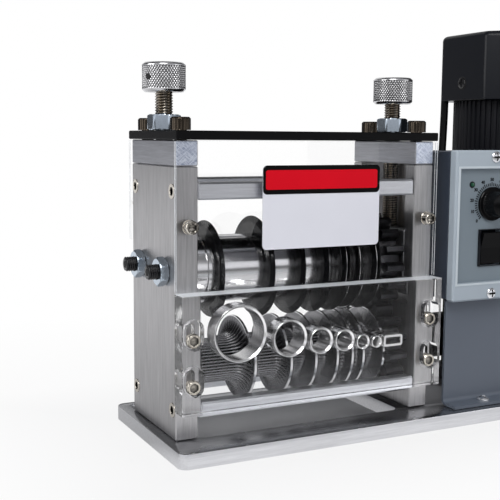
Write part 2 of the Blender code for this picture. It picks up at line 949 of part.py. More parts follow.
flat_left = flat_x - flat_tube_wide / 2
flat_right = flat_x + flat_tube_wide / 2
flat_high = tube_bottom + flat_tube_tall
flat_outer = rounded(flat_left, flat_right, tube_bottom, flat_high, flat_tube_wall, 3)
flat_inner = rounded(
    flat_left + flat_tube_wall, flat_right - flat_tube_wall, tube_bottom + flat_tube_wall,
    flat_high - flat_tube_wall, flat_tube_wall / 2, 2,
)
outline("guide_tube_7", [flat_outer, flat_inner], tube_front, tube_back, "Y", "satin_steel")
flat_way = rounded(flat_left - seat, flat_right + seat, tube_bottom - seat, flat_high + seat, flat_tube_wall, 3)
cut(feed, outline("tube_way_7", [flat_way], feed_front - overrun, feed_back + overrun, "Y"))
for side in ("left", "right"):
    u = mirrored(slot_inset, side)
    for number, rise in enumerate(slot_rises, 1):
        height = feed_plate_low + rise
        name = f"{side}_slot_{number}"
        half = slot_tall / 2
        sink = rounded(u - slot_wide / 2, u + slot_wide / 2, height - half, height + half, slot_wide / 2)
        reach = half - slot_wide / 2 + slot_way / 2
        way = rounded(u - slot_way / 2, u + slot_way / 2, height - reach, height + reach, slot_way / 2, 3)
        cut(feed, outline(name + "_sink", [sink], feed_front - overrun, feed_front + slot_sink, "Y"))
        cut(feed, outline(name + "_way", [way], feed_front, feed_back + overrun, "Y"))

# Motor end: bent sheet panel with a notch for the control box
bend = bend_radius + sheet
profile = [(panel_face, panel_high), (panel_face, seat + bend)]
for step in range(1, 5):
    angle = math.pi / 2 * step / 4
    profile.append((panel_face - bend_radius + bend_radius * math.cos(angle), seat + bend - bend_radius * math.sin(angle)))
flange_front = panel_face - flange_deep
profile.append((flange_front, seat + sheet))
profile.append((flange_front, seat))
inner_face = panel_face + sheet
for step in range(4, -1, -1):
    angle = math.pi / 2 * step / 4
    profile.append((inner_face - bend + bend * math.cos(angle), seat + bend - bend * math.sin(angle)))
profile.append((inner_face, panel_high))
panel = outline("motor_housing", [profile], panel_left, panel_right, "X", "housing")
cut(panel, box(
    "control_notch", (panel_left - overrun, panel_face - overrun, bezel_low - seat),
    (bezel_right + seat, inner_face + overrun, panel_high + overrun),
))

# Control box: frame with a sunk panel, case behind it, dial and rocker
bezel = box(
    "control_bezel", (bezel_left, bezel_face, bezel_low), (bezel_right, bezel_back, bezel_high), "bezel", bezel_edge
)
cut(bezel, box(
    "window", (window_left, bezel_face - overrun, window_low), (window_right, window_face, window_high)
))
case = box(
    "control_case", (bezel_left + case_inset, bezel_back + seat, bezel_low + case_inset),
    (bezel_right - case_inset, case_back, bezel_high - case_inset), "housing", edge_break,
)
cut(case, box(
    "case_step", (bezel_left + case_inset + case_deep_wide, case_shallow_back, bezel_low - overrun),
    (bezel_right + overrun, case_back + overrun, bezel_high + overrun),
))
well = box(
    "rocker_well", (rocker_left, window_face - overrun, rocker_low - rocker_well),
    (rocker_right, window_face + rocker_well_deep, rocker_high + rocker_well),
)
cut(bezel, well)
cut(case, well)
cut(bezel, rod(
    "dial_hole", dial_spindle_radius + seat, (dial_x, window_face - overrun, dial_height),
    overrun + dial_spindle_long + seat, "Y", sides=small_sides,
))
dial = turned(
    "speed_dial",
    [
        (-dial_tall, dial_tip_radius - edge_break),
        (-dial_tall + edge_break, dial_tip_radius),
        (-dial_skirt, dial_grip_radius),
        (-dial_skirt, dial_skirt_radius - edge_break),
        (-dial_skirt + edge_break, dial_skirt_radius),
        (-seat, dial_skirt_radius),
        (-seat, dial_spindle_radius),
        (dial_spindle_long, dial_spindle_radius),
    ],
    (dial_x, window_face, dial_height), "Y", "black_plastic", sides=small_sides,
)
cut(dial, box(
    "dial_mark", (dial_x - dial_groove / 2, window_face - dial_tall - overrun, dial_height),
    (dial_x + dial_groove / 2, window_face - dial_tall + dial_groove, dial_height + dial_skirt_radius),
))
half_rocker = (rocker_high - rocker_low) / 2 - seat
rocker_outline = [
    (-rocker_proud, -half_rocker),
    (-rocker_proud + rocker_dish, 0),
    (-rocker_proud, half_rocker),
    (0, half_rocker),
    (rocker_deep, half_rocker / 2),
    (rocker_deep, -half_rocker / 2),
    (0, -half_rocker),
]
rocker = outline(
    "power_switch", [rocker_outline], (rocker_left - rocker_right) / 2 + seat, (rocker_right - rocker_left) / 2 - seat,
    "X", "black_plastic", (rocker_x, window_face, rocker_z),
)
rocker.rotation_euler.x = rocker_tilt

# Gearbox: foot, case, top flange and output boss with its stub
half_box = gearbox_wide / 2
gearbox = box(
    "gearbox", (motor_x - half_box, motor_y - half_box, seat), (motor_x + half_box, motor_y + half_box, gearbox_shoulder),
    "cast", gearbox_edge,
)
join(gearbox, box(
    "gearbox_foot", (motor_x - half_box - gearbox_foot_out, motor_y - half_box + gearbox_edge, seat),
    (motor_x + half_box + gearbox_foot_out, motor_y + half_box + gearbox_foot_out, gearbox_foot),
))
join(gearbox, rod(
    "gearbox_flange", gearbox_flange_radius, (motor_x, motor_y, gearbox_shoulder - overrun),
    motor_low - seat - gearbox_shoulder + overrun,
))
join(gearbox, rod(
    "output_boss", output_boss_radius, (motor_x - half_box - output_boss_long, motor_y, feed_axis),
    output_boss_long + overrun, "X",
))
stub_left = coupling_right - stub_reach
join(gearbox, rod(
    "output_stub", stub_radius, (stub_left, motor_y, feed_axis), motor_x - half_box - stub_left + overrun, "X",
))

# Motor body with its fins, and the fan cover
outline("motor_body", [fin_outline()], motor_low, motor_high - seat, "Z", "cast")
fan_points = []
for quarter in range(4):
    angle = quarter * math.pi / 2
    for u, v in ((fan_half, fan_half - fan_corner), (fan_half - fan_corner, fan_half)):
        fan_points.append((
            motor_x + u * math.cos(angle) - v * math.sin(angle),
            motor_y + u * math.sin(angle) + v * math.cos(angle),
        ))
fan_mesh = outline("fan_cover", [fan_points], motor_high, fan_high, "Z", "black_plastic")
rim = [edge for edge in fan_mesh.data.edges if all(
    fan_mesh.data.vertices[index].co.z > fan_high - edge_break for index in edge.vertices
)]
weights = fan_mesh.data.attributes.new("bevel_weight_edge", "FLOAT", "EDGE")
for edge in rim:
    weights.data[edge.index].value = 1
round_over = fan_mesh.modifiers.new("edges", "BEVEL")
round_over.limit_method = "WEIGHT"
round_over.width = fan_edge
round_over.segments = 4

# Motor lead from under the fan cover down and forward into the control case
lead_x = motor_x - fan_half + lead_inset
lead_start = Vector((lead_x, motor_y + lead_back, motor_high - seat))
lead_turn = lead_start - Vector((0, 0, lead_drop))
lead_end_x = bezel_left + case_inset + case_deep_wide - lead_case_inset
lead_end = Vector((lead_end_x, case_back + seat, bezel_high - case_inset - lead_case_drop))
lead_curve = bpy.data.curves.new("motor_lead", "CURVE")
lead_curve.dimensions = "3D"
lead_curve.bevel_depth = lead_radius
lead_curve.bevel_resolution = 2
lead_curve.use_fill_caps = True
lead_spline = lead_curve.splines.new("POLY")
lead_spline.points.add(lead_points)
pulls = (
    lead_start,
    lead_turn,
    lead_end + Vector((0, lead_end_pull, 0)),
    lead_end,
)
for step in range(lead_points + 1):
    t = step / lead_points
    shares = ((1 - t) ** 3, 3 * t * (1 - t) ** 2, 3 * t ** 2 * (1 - t), t ** 3)
    point = sum((pull * share for pull, share in zip(pulls, shares)), Vector())
    lead_spline.points[step].co = (*point, 1)
as_mesh("motor_lead", lead_curve, "black_plastic", (0, 0, 0), Matrix.Identity(4))

for piece in model.objects:
    if piece.type == "MESH" and not piece.hide_render:
        smooth(piece)
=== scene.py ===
# %% [markdown]
# A bench wire stripping machine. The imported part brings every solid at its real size. This lesson loads
# it, sets the camera where the photographer stood, and dresses it: machined metal, clear plastic,
# knurls, threads, the ribbed feed roller and the small screws.

# %% Load the frame
import math

import bmesh
import bpy
from mathutils import Matrix, Vector


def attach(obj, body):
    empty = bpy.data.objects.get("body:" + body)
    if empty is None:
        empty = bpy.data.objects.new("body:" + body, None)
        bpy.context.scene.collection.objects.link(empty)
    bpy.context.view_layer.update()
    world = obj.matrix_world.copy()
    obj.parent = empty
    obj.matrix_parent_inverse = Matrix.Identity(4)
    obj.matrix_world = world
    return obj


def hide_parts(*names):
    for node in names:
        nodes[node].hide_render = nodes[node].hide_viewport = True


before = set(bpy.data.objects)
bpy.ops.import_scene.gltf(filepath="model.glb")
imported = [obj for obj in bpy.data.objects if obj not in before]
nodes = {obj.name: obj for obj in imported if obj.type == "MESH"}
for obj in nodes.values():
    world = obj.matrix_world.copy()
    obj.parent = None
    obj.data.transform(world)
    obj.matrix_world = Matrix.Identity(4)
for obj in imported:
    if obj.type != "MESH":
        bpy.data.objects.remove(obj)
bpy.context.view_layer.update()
print("nodes", len(nodes))

# %% [markdown]
# Sizes are written in millimetres from the left end plate's outer face, the end plates' front and the
# base's top, as they were measured. One helper turns such a place into the frame's metres. Another puts
# a thing into the scene, because what is made in bpy.data is only stored.

# %% Units and places
MM = 0.001
OX, OY, OZ = 169, 36, -10


def at(x, y, z):
    """A place in machine millimetres as a point of the frame."""
    return Vector(((x - OX) * MM, (y - OY) * MM, (z - OZ) * MM))


def put(name, data):
    """Put a mesh, curve, lamp or camera into the scene as an object."""
    thing = bpy.data.objects.new(name, data)
    bpy.context.scene.collection.objects.link(thing)
    return thing


print("the measuring corner lies at", at(0, 0, 0))

# %% [markdown]
# The camera was fitted to the straight edges of the plates. Its three axes become the columns of its
# matrix, which needs no angles. Standard keeps each colour about as it is written.

# %% Camera
camera_data = bpy.data.cameras.new("camera")
camera_data.lens = 67.96
camera_data.sensor_width = 36
camera_data.clip_start = 0.01
camera = put("camera", camera_data)
side_way = Vector((0.89590407, -0.44418829, 0.0072566))
up_way = Vector((0.04649782, 0.11000345, 0.99284299))
sight = Vector((0.44180748, 0.88915466, -0.11920633))
turn = Matrix((side_way, up_way, -sight)).transposed()
camera.matrix_world = Matrix.Translation(at(-214.81, -535.12, 190.95)) @ turn.to_4x4()
bpy.context.scene.camera = camera
bpy.context.scene.view_settings.view_transform = "Standard"
print("camera at", camera.matrix_world.translation)

# %% [markdown]
# Finishes are made of shader nodes. A tree could be drawn by hand, but code repeats it for every metal.
# One helper adds a node and feeds its inputs, with a plain value or with another node's output, and
# short ones for sums, ramps and mixes stand on it.

# %% Node helpers


def feed(net, node, feeds):
    """Give each named input of a node a plain value or another node's output."""
    for socket, source in feeds.items():
        if isinstance(source, bpy.types.NodeSocket):
            net.links.new(source, node.inputs[socket])
        else:
            node.inputs[socket].default_value = source


def add(net, kind, feeds=None, **settings):
    """Add a shader node with its own settings, and feed its inputs."""
    node = net.nodes.new("ShaderNode" + kind)
    for setting, value in settings.items():
        setattr(node, setting, value)
    feed(net, node, feeds or {})
    return node


def maths(net, operation, *values, clamp=False):
    """One sum on one or two values."""
    return add(net, "Math", dict(enumerate(values)), operation=operation, use_clamp=clamp).outputs[0]


def spread(net, source, low, high):
    """Map a value from low..high to 0..1."""
    return add(net, "MapRange", {"From Min": low, "From Max": high, "Value": source}).outputs[0]


def grey(level):
    """A grey that leans a little to blue."""
    return (level, level, level * 1.02, 1)


def ramp(net, source, spots):
    """Turn a value from 0 to 1 into a grey, by the levels at the given places."""
    node = add(net, "ValToRGB", {0: source})
    stops = node.color_ramp.elements
    stops[0].position, first = spots[0]
    stops[1].position, last = spots[-1]
    stops[0].color = grey(first)
    stops[1].color = grey(last)
    for spot, level in spots[1:-1]:
        stops.new(spot).color = grey(level)
    return node.outputs["Color"]


def mix_colours(net, share, first, second, blend="MIX"):
    """Blend two colours by a share."""
    feeds = {"Factor": share, "A": first, "B": second}
    return add(net, "Mix", feeds, data_type="RGBA", blend_type=blend).outputs["Result"]


def mix_shaders(net, share, first, second):
    """Blend two shaders by a share."""
    return add(net, "MixShader", {0: share, 1: first, 2: second}).outputs[0]


def seen(net):
    """Two answers on a ray: is it seen straight or through clear sheet, and is it mirrored or bent?"""
    path = add(net, "LightPath").outputs
    no_mirror = maths(net, "LESS_THAN", path["Glossy Depth"], 0.5)
    through = maths(net, "MULTIPLY", path["Is Transmission Ray"], no_mirror)
    straight = maths(net, "MAXIMUM", path["Is Camera Ray"], through)
    return straight, maths(net, "MAXIMUM", path["Is Glossy Ray"], path["Is Transmission Ray"])


# %% [markdown]
# A studio in white: the camera and clear plastic see a white surround. Metal sees bands of bright and
# dark, as it does between soft boxes and black cards: bright low in front, dark behind.

# %% World
world = bpy.data.worlds.new("studio")
bpy.context.scene.world = world
world.use_nodes = True
net = world.node_tree
net.nodes.clear()
way = add(net, "SeparateXYZ", {0: add(net, "TexCoord").outputs["Generated"]}).outputs
height_bands = ramp(net, spread(net, way["Z"], -1, 1), (
    (0.0, 0.3), (0.5, 0.3), (0.53, 0.9), (0.64, 1.0), (0.7, 0.4), (0.8, 0.22), (0.93, 0.35), (1.0, 0.7),
))
depth_bands = ramp(net, spread(net, way["Y"], -1, 1), ((0.0, 1.0), (0.35, 0.8), (0.6, 0.35), (1.0, 0.22)))
bands = mix_colours(net, 1, height_bands, depth_bands, "MULTIPLY")
soft = add(net, "Background", {"Color": (0.42, 0.43, 0.45, 1)})
striped = add(net, "Background", {"Color": bands})
white = add(net, "Background", {"Color": (1, 1, 1, 1)})
straight, mirrored = seen(net)
unseen = mix_shaders(net, mirrored, soft.outputs[0], striped.outputs[0])
add(net, "OutputWorld", {"Surface": mix_shaders(net, straight, unseen, white.outputs[0])})
print("world nodes", len(net.nodes))

# %% [markdown]
# The photograph has one broad light in front on the left and little from elsewhere. Four area lamps
# give that, weak enough that pale paint doesn't turn white. Each is turned so that its -Z axis looks at
# the machine's middle.

# %% Lights


def soft_box(name, spot, aim, size, power):
    """A square area lamp pointed at a place."""
    lamp_data = bpy.data.lights.new(name, "AREA")
    lamp_data.size = size
    lamp_data.energy = power
    lamp = put(name, lamp_data)
    lamp.location = spot
    lamp.rotation_euler = (aim - spot).to_track_quat("-Z", "Y").to_euler()


middle = at(120, 39, 90)
soft_box("key_light", at(-300, -650, 900), middle, 0.5, 5.5)
soft_box("fill_light", at(900, -700, 400), middle, 0.5, 0.9)
soft_box("left_light", at(-800, 100, 500), middle, 0.6, 3)
soft_box("back_light", at(300, 900, 700), middle, 0.8, 1.2)
print("lamps", len(bpy.data.lights))

# %% [markdown]
# The floor is a pale sheet that keeps the machine's soft shadow and fades into the white surround,
# which it meets some 0.4 m beyond the base. In reflections only, it glows with a painted reflection,
# bright beside the machine and dimmer far in front.

# %% Floor
FOOT = (0.17, 0.052, 0)
FADE_REACH = 0.9
MIRROR_REACH = 1.2
floor_mesh = bpy.data.meshes.new("floor")
form = bmesh.new()
bmesh.ops.create_grid(form, x_segments=1, y_segments=1, size=6)
form.to_mesh(floor_mesh)
form.free()
floor = put("floor", floor_mesh)


def new_finish(name, feeds):
    """A new material, its node tree and its main shader, with some of the shader's inputs set."""
    surface = bpy.data.materials.new(name)
    surface.use_nodes = True
    net = surface.node_tree
    shader = net.nodes["Principled BSDF"]
    feed(net, shader, feeds)
    return surface, net, shader


paper, net, matt = new_finish(
    "paper", {"Base Color": (0.6, 0.6, 0.61, 1), "Roughness": 1, "Specular IOR Level": 0}
)
spot = add(net, "TexCoord").outputs["Object"]
size = add(net, "VectorMath", {0: spot}, operation="ABSOLUTE").outputs[0]
beyond = add(net, "VectorMath", {0: size, 1: FOOT}, operation="SUBTRACT").outputs[0]
sides = add(net, "SeparateXYZ", {0: beyond}).outputs
gap = maths(net, "MAXIMUM", sides["X"], sides["Y"])
fade = ramp(net, spread(net, gap, 0, FADE_REACH), (
    (0.0, 0.0), (0.005, 0.8), (0.12, 0.93), (0.45, 1.0), (1.0, 1.0),
))
straight, mirrored = seen(net)
white_glow = add(net, "Emission", {"Color": (1, 1, 1, 1)}).outputs[0]
plain_look = mix_shaders(net, maths(net, "MULTIPLY", straight, fade), matt.outputs[0], white_glow)
# Painted reflection: a glow that only mirrored rays see, bright near the machine and dim far in front.
ahead = add(net, "SeparateXYZ", {0: spot}).outputs["Y"]
painted_reflection_floor = ramp(net, spread(net, ahead, MIRROR_REACH, -MIRROR_REACH), (
    (0.0, 0.9), (0.3, 0.85), (0.5, 0.5), (0.53, 1.0), (0.58, 0.9), (0.64, 0.55), (0.74, 0.52), (0.84, 0.2),
    (1.0, 0.12),
))
painted_reflection_glow = add(net, "Emission", {"Color": painted_reflection_floor}).outputs[0]
mirror_only = maths(net, "SUBTRACT", mirrored, straight, clamp=True)
feed(net, net.nodes["Material Output"], {"Surface": mix_shaders(net, mirror_only, plain_look, painted_reflection_glow)})
floor_mesh.materials.append(paper)
print("floor finish nodes", len(net.nodes))

# %% [markdown]
# Machined metal is one idea with many settings: a base colour, fine grain stretched along the cut, and
# a little cloudiness in its gloss. Noise on Object coordinates gives both, because every piece sits at
# the origin. Pieces with knurls, threads or sockets carry how deep they are cut in an attribute, and
# the metal's colour is darkened there as painted shade in the cuts.

# %% Metals


def shaded(colour, by):
    """A colour times a number, as a node wants it."""
    return (*[min(1, channel * by) for channel in colour], 1)


def wear(net, shader, tone, haze, rough, cloud, relief, strength, depth):
    """Feed a shader its tone, a cloudy gloss and a fine bump."""
    gloss = add(net, "MapRange", {
        "To Min": max(0.02, rough - cloud), "To Max": rough + cloud, "Value": haze,
    })
    bump = add(net, "Bump", {"Strength": strength, "Distance": depth * MM, "Height": relief})
    feed(net, shader, {"Base Color": tone, "Roughness": gloss.outputs[0], "Normal": bump.outputs[0]})


def metal(name, colour, rough, grain, depth, cloud=0.06, strength=0.25, shade_by=0.12, cut_shade=0):
    """A machined metal: grain says how fine it is along each axis, cut_shade how much painted shade darkens
    its cuts.
    """
    surface, net, shader = new_finish(name, {"Metallic": 1})
    coords = add(net, "TexCoord").outputs["Object"]
    stretch = add(net, "Mapping", {"Scale": grain, "Vector": coords}).outputs[0]
    detail = 7 if len(set(grain)) > 1 else 1.5
    fibres = add(net, "TexNoise", {"Scale": 2.4, "Detail": detail, "Roughness": 0.72, "Vector": stretch})
    lines = fibres.outputs["Fac"]
    haze = add(net, "TexNoise", {"Scale": 28, "Detail": 3, "Vector": coords}).outputs["Fac"]
    streaks = spread(net, lines, 0.3, 0.7)
    tone = mix_colours(net, streaks, shaded(colour, 1 - shade_by), shaded(colour, 1 + shade_by))
    if cut_shade:
        cuts = add(net, "Attribute", attribute_name="cut").outputs["Fac"]
        tone = mix_colours(net, cuts, tone, shaded(colour, 1 - cut_shade))
    wear(net, shader, tone, haze, rough, cloud, lines, strength, depth)
    return surface


EVEN = (200, 200, 200)
EVEN_COARSER = (160, 160, 160)
plate_metal = metal("brushed aluminium", (0.49, 0.485, 0.49), 0.36, (320, 320, 14), 0.05, 0.05, 0.5, 0.2)
cap_metal = metal("cross milled aluminium with painted reflection", (0.46, 0.47, 0.505), 0.36, (320, 14, 320), 0.05, 0.05, 0.5, 0.2)
bar_metal = metal("drawn aluminium", (0.74, 0.755, 0.79), 0.34, (12, 300, 300), 0.03, 0.03, 0.3)
base_metal = metal("polished aluminium", (0.66, 0.665, 0.68), 0.3, (14, 260, 260), 0.03, 0.04, 0.35)
# The base's top is given a darker colour as a painted dark reflection.
base_top_painted_dark = metal("aluminium with painted dark top", (0.41, 0.415, 0.43), 0.27, (14, 260, 260), 0.03, 0.04, 0.35)
block_metal = metal("milled block", (0.3, 0.3, 0.31), 0.42, (300, 300, 20), 0.03)
bright_steel = metal("polished steel", (0.72, 0.72, 0.73), 0.16, (14, 300, 300), 0.01, 0.03, 0.15, 0.06)
tube_steel = metal("satin tube steel", (0.95, 0.95, 0.95), 0.24, (260, 10, 260), 0.02, 0.05, 0.25, 0.1)
# The last number of the metals below, cut_shade, darkens their cuts as painted shade.
roller_steel = metal("dark ribbed steel", (0.3, 0.3, 0.31), 0.26, EVEN, 0.004, 0.05, 0.05, 0.06, 0.9)
gear_steel = metal("dark gear steel", (0.05, 0.05, 0.054), 0.36, EVEN, 0.006, 0.08, 0.1, 0.1)
knob_steel = metal("knurled knob steel", (0.72, 0.72, 0.73), 0.18, EVEN, 0.004, 0.04, 0.05, 0.05, 0.97)
thread_steel = metal("warm screw steel", (0.6, 0.54, 0.46), 0.13, EVEN, 0.004, 0.05, 0.05, 0.1, 0.94)
cap_steel = metal("blackened screw steel", (0.06, 0.049, 0.038), 0.18, EVEN, 0.004, 0.06, 0.1, 0.1, 0.9)
zinc_steel = metal("blue zinc", (0.56, 0.64, 0.72), 0.14, (160, 160, 60), 0.004, 0.05, 0.1, 0.06)
small_screw_steel = metal(
    "nickel screw steel", (0.62, 0.58, 0.51), 0.15, EVEN_COARSER, 0.004, 0.03, 0.08, 0.06, 0.94
)
panel_screw_steel = metal(
    "silver screw steel", (0.78, 0.79, 0.81), 0.16, EVEN_COARSER, 0.004, 0.03, 0.05, 0.04, 0.96
)
for dull in (roller_steel, gear_steel):
    dull.node_tree.nodes["Principled BSDF"].inputs["Specular Tint"].default_value = (0.35, 0.35, 0.35, 1)
print("finishes so far", len(bpy.data.materials))

# %% [markdown]
# The cap blocks' narrow faces are cross milled: two sets of slanted scratches, in a pale cold tone that
# is partly a painted bluish reflection. The surface's own normal picks those faces out, so the blocks
# need no second material slot.

# %% Cross milling
net = cap_metal.node_tree
shader = net.nodes["Principled BSDF"]
plain_tone = shader.inputs["Base Color"].links[0].from_socket
coords = add(net, "TexCoord").outputs
scratches = []
for lean in (38, -38):
    slant = add(net, "Mapping", {
        "Rotation": (0, math.radians(lean), 0), "Scale": (0.006, 1, 0.0007), "Vector": coords["Object"],
    }, vector_type="TEXTURE").outputs[0]
    noise = add(net, "TexNoise", {"Scale": 1, "Detail": 2, "Vector": slant}).outputs["Fac"]
    scratches.append(spread(net, noise, 0.42, 0.62))
crossed = maths(net, "MAXIMUM", *scratches)
# The scratches are real; their pale bluish tone is partly a painted reflection.
milled_tone_and_reflection = mix_colours(net, crossed, (0.36, 0.42, 0.56, 1), (0.82, 0.87, 0.97, 1))
depth_way = add(net, "SeparateXYZ", {0: coords["Normal"]}).outputs["Y"]
narrow_face = spread(net, maths(net, "ABSOLUTE", depth_way), 0.8, 0.95)
feed(net, shader, {"Base Color": mix_colours(net, narrow_face, plain_tone, milled_tone_and_reflection)})
print("cross milled finish nodes", len(net.nodes))

# %% [markdown]
# Painted sheet, moulded plastic and cast iron have no metal in their shader. A fine bump gives the
# paint its orange peel and the plastic its moulded grain. The blades are blackened so evenly that they
# are dressed as paint.

# %% Paints and plastics


def coat(name, colour, rough, fine=900, depth=0.03, strength=0.25, shine=0.5):
    """Paint or plastic with a fine surface."""
    surface, net, shader = new_finish(name, {"Specular IOR Level": shine})
    coords = add(net, "TexCoord").outputs["Object"]
    speckle = add(net, "TexNoise", {"Scale": fine, "Detail": 3, "Vector": coords}).outputs["Fac"]
    haze = add(net, "TexNoise", {"Scale": 22, "Vector": coords}).outputs["Fac"]
    tone = mix_colours(net, haze, shaded(colour, 0.94), shaded(colour, 1.06))
    wear(net, shader, tone, haze, rough, 0.05, speckle, strength, depth)
    return surface


black_paint = coat("black top plate", (0.0015, 0.0015, 0.002), 0.5, shine=0.12)
panel_paint = coat("blue grey panel paint", (0.12, 0.14, 0.175), 0.4)
case_paint = coat("control case paint", (0.045, 0.056, 0.078), 0.24)
bezel_paint = coat("pale bezel paint", (0.43, 0.49, 0.545), 0.42)
window_paint = coat("sunk panel paint", (0.205, 0.25, 0.285), 0.5)
# The lip's paint is paler than the bezel as a painted highlight.
lip_highlight_paint = coat("raised lip paint with painted highlight", (0.62, 0.68, 0.72), 0.36)
moulded_black = coat("moulded black plastic", (0.0045, 0.0055, 0.0085), 0.3, 1400, 0.02, 0.2, 0.25)
blade_steel = coat("blackened blade steel", (0.006, 0.006, 0.007), 0.28, 400, 0.004, 0.1, 0.12)
black_screw = coat("black screw steel", (0.004, 0.004, 0.005), 0.25, 900, 0.003, 0.1, 0.45)
knob_black = coat("dial plastic", (0.003, 0.003, 0.0035), 0.14, 900, 0.004, 0.1, 0.18)
cast_black = coat("black cast iron", (0.005, 0.0055, 0.008), 0.5, 500, 0.12, 0.5, 0.2)
sign_white = coat("sign white", (0.84, 0.84, 0.9), 0.45, 900, 0.003, 0.1, 0.1)
sign_black = coat("sign black", (0.002, 0.002, 0.002), 0.45, 900, 0.003, 0.1, 0.08)
sign_red = coat("sign red", (0.75, 0.004, 0.016), 0.45, 900, 0.003, 0.1, 0.08)
ink = coat("panel ink", (0.004, 0.004, 0.006), 0.6, 900, 0.001, shine=0.1)
mark_white = coat("dial mark", (0.8, 0.8, 0.8), 0.4, 900, 0.001)
# A pale opaque coat for sawn acrylic edges: frosted edge and painted highlight.
sawn_edge_highlight = coat("sawn clear edge with painted highlight", (0.8, 0.83, 0.86), 0.3, 700, 0.02, 0.3)
# A dark coat set in holes, sockets and wells: painted shade.
hole_shade = coat("hole shadow", (0.002, 0.002, 0.002), 0.7)
lamp_green = coat("lamp green", (0.008, 0.075, 0.035), 0.15, 900, 0.001)
print("finishes so far", len(bpy.data.materials))

# %% [markdown]
# Clear sheet bends the light as acrylic does, so its edges gather light and what stands behind its
# thickness is squeezed. Shadow rays pass straight through, so the rollers behind it stay lit. A share
# of it is plain see-through: nearly all of a thin guard, little of the thick feed plate.

# %% Clear sheet


def clear(name, tint, plain_share):
    """Clear acrylic that refracts what is seen through it; a share of it lets light through as air does."""
    surface, net, shader = new_finish(name, {
        "Base Color": (*tint, 1), "Roughness": 0.015, "IOR": 1.49, "Transmission Weight": 1,
        "Specular Tint": (0.25, 0.25, 0.25, 1),
    })
    through = add(net, "BsdfTransparent", {"Color": (1, 1, 1, 1)})
    share = maths(net, "MAXIMUM", add(net, "LightPath").outputs["Is Shadow Ray"], plain_share)
    look = mix_shaders(net, share, shader.outputs[0], through.outputs[0])
    feed(net, net.nodes["Material Output"], {"Surface": look})
    return surface


guard_clear = clear("clear guard", (0.995, 0.998, 0.998), 0.95)
feed_clear = clear("clear feed plate", (0.99, 0.992, 0.993), 0.04)
print("finishes in all", len(bpy.data.materials))

# %% [markdown]
# Pieces whose solid already has the right shape keep their mesh and only get a finish. The frame's own
# material slots are cleared first, because a slot that is left behind would still be drawn.

# %% Dress the CAD nodes


def dress(surface, *names):
    """Give carried-over nodes their finish."""
    for name in names:
        slots = nodes[name].data.materials
        slots.clear()
        slots.append(surface)
    print(surface.name, "on", *names)


dress(plate_metal, "left_end_plate", "right_end_plate")
dress(cap_metal, "left_cap_block", "right_cap_block")
dress(bar_metal, "upper_front_tie_bar", "upper_rear_tie_bar", "lower_front_tie_bar", "lower_rear_tie_bar")
dress(block_metal, "left_bearing_block", "right_bearing_block")
dress(guard_clear, "front_guard", "rear_guard")
dress(feed_clear, "feed_plate")
dress(panel_paint, "motor_housing")
dress(case_paint, "control_case")
dress(bezel_paint, "control_bezel")
dress(cast_black, "gearbox")
dress(black_paint, "top_plate", "motor_lead", "power_switch")
dress(gear_steel, "drive_gear", "blade_gear")
dress(bright_steel, "drive_shaft")
dress(tube_steel, "guide_tube_7")

# %% [markdown]
# Most pieces are built from lists of points and faces. One helper makes the mesh, merges points that
# meet, turns the faces outwards and marks the edges that bend sharply, so that the rest is shaded
# smooth.

# %% Mesh pieces
MERGE = 1e-7


def smooth(mesh, sharp):
    """Shade a mesh smooth, but for edges that bend by more than some degrees."""
    mesh.shade_smooth()
    mesh.set_sharp_from_angle(angle=math.radians(sharp))


def shape_object(name, points, faces, surface, sharp=35, cuts=()):
    """A mesh piece at the origin from points in metres; cuts (0 to 1, mostly depth) give painted shade."""
    mesh = bpy.data.meshes.new(name)
    mesh.from_pydata([tuple(point) for point in points], [], faces)
    form = bmesh.new()
    form.from_mesh(mesh)
    if cuts:
        layer = form.verts.layers.float.new("cut")
        for vert, cut in zip(form.verts, cuts):
            vert[layer] = cut
    bmesh.ops.remove_doubles(form, verts=form.verts, dist=MERGE)
    bmesh.ops.recalc_face_normals(form, faces=form.faces)
    form.to_mesh(mesh)
    form.free()
    smooth(mesh, sharp)
    mesh.materials.append(surface)
    return put(name, mesh)


def ride(piece, body, slot, *replaced):
    """Say what a piece moves with and which nodes it stands for; slot, the finish it belongs to, is not used.
    """
    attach(piece, body)
    if replaced:
        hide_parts(*replaced)
    print(piece.name, "rides on", body)


# %% [markdown]
# Turned pieces are the heart of this machine: rollers, blades, tubes, knobs, screws. A lathe helper
# spins a profile of heights and radii round an axis, with an optional rule that cuts ribs or knurls
# into the surface. A Screw modifier would spin it too, but it couldn't cut.

# %% Lathe
AXES = {
    "X": Matrix(((0, 0, 1), (1, 0, 0), (0, 1, 0))),
    "Y": Matrix(((0, 1, 0), (0, 0, 1), (1, 0, 0))),
    "Z": Matrix.Identity(3),
}


def walls(count, sides, closed=False):
    """Faces between stacked rings of points; closed joins the last ring to the first."""
    faces = []
    for row in range(count if closed else count - 1):
        below = row * sides
        above = (row + 1) % count * sides
        for step in range(sides):
            after = (step + 1) % sides
            faces.append((below + step, below + after, above + after, above + step))
    return faces


def caps(count, sides):
    """The two faces that close a stack of rings."""
    return [tuple(reversed(range(sides))), tuple(range((count - 1) * sides, count * sides))]


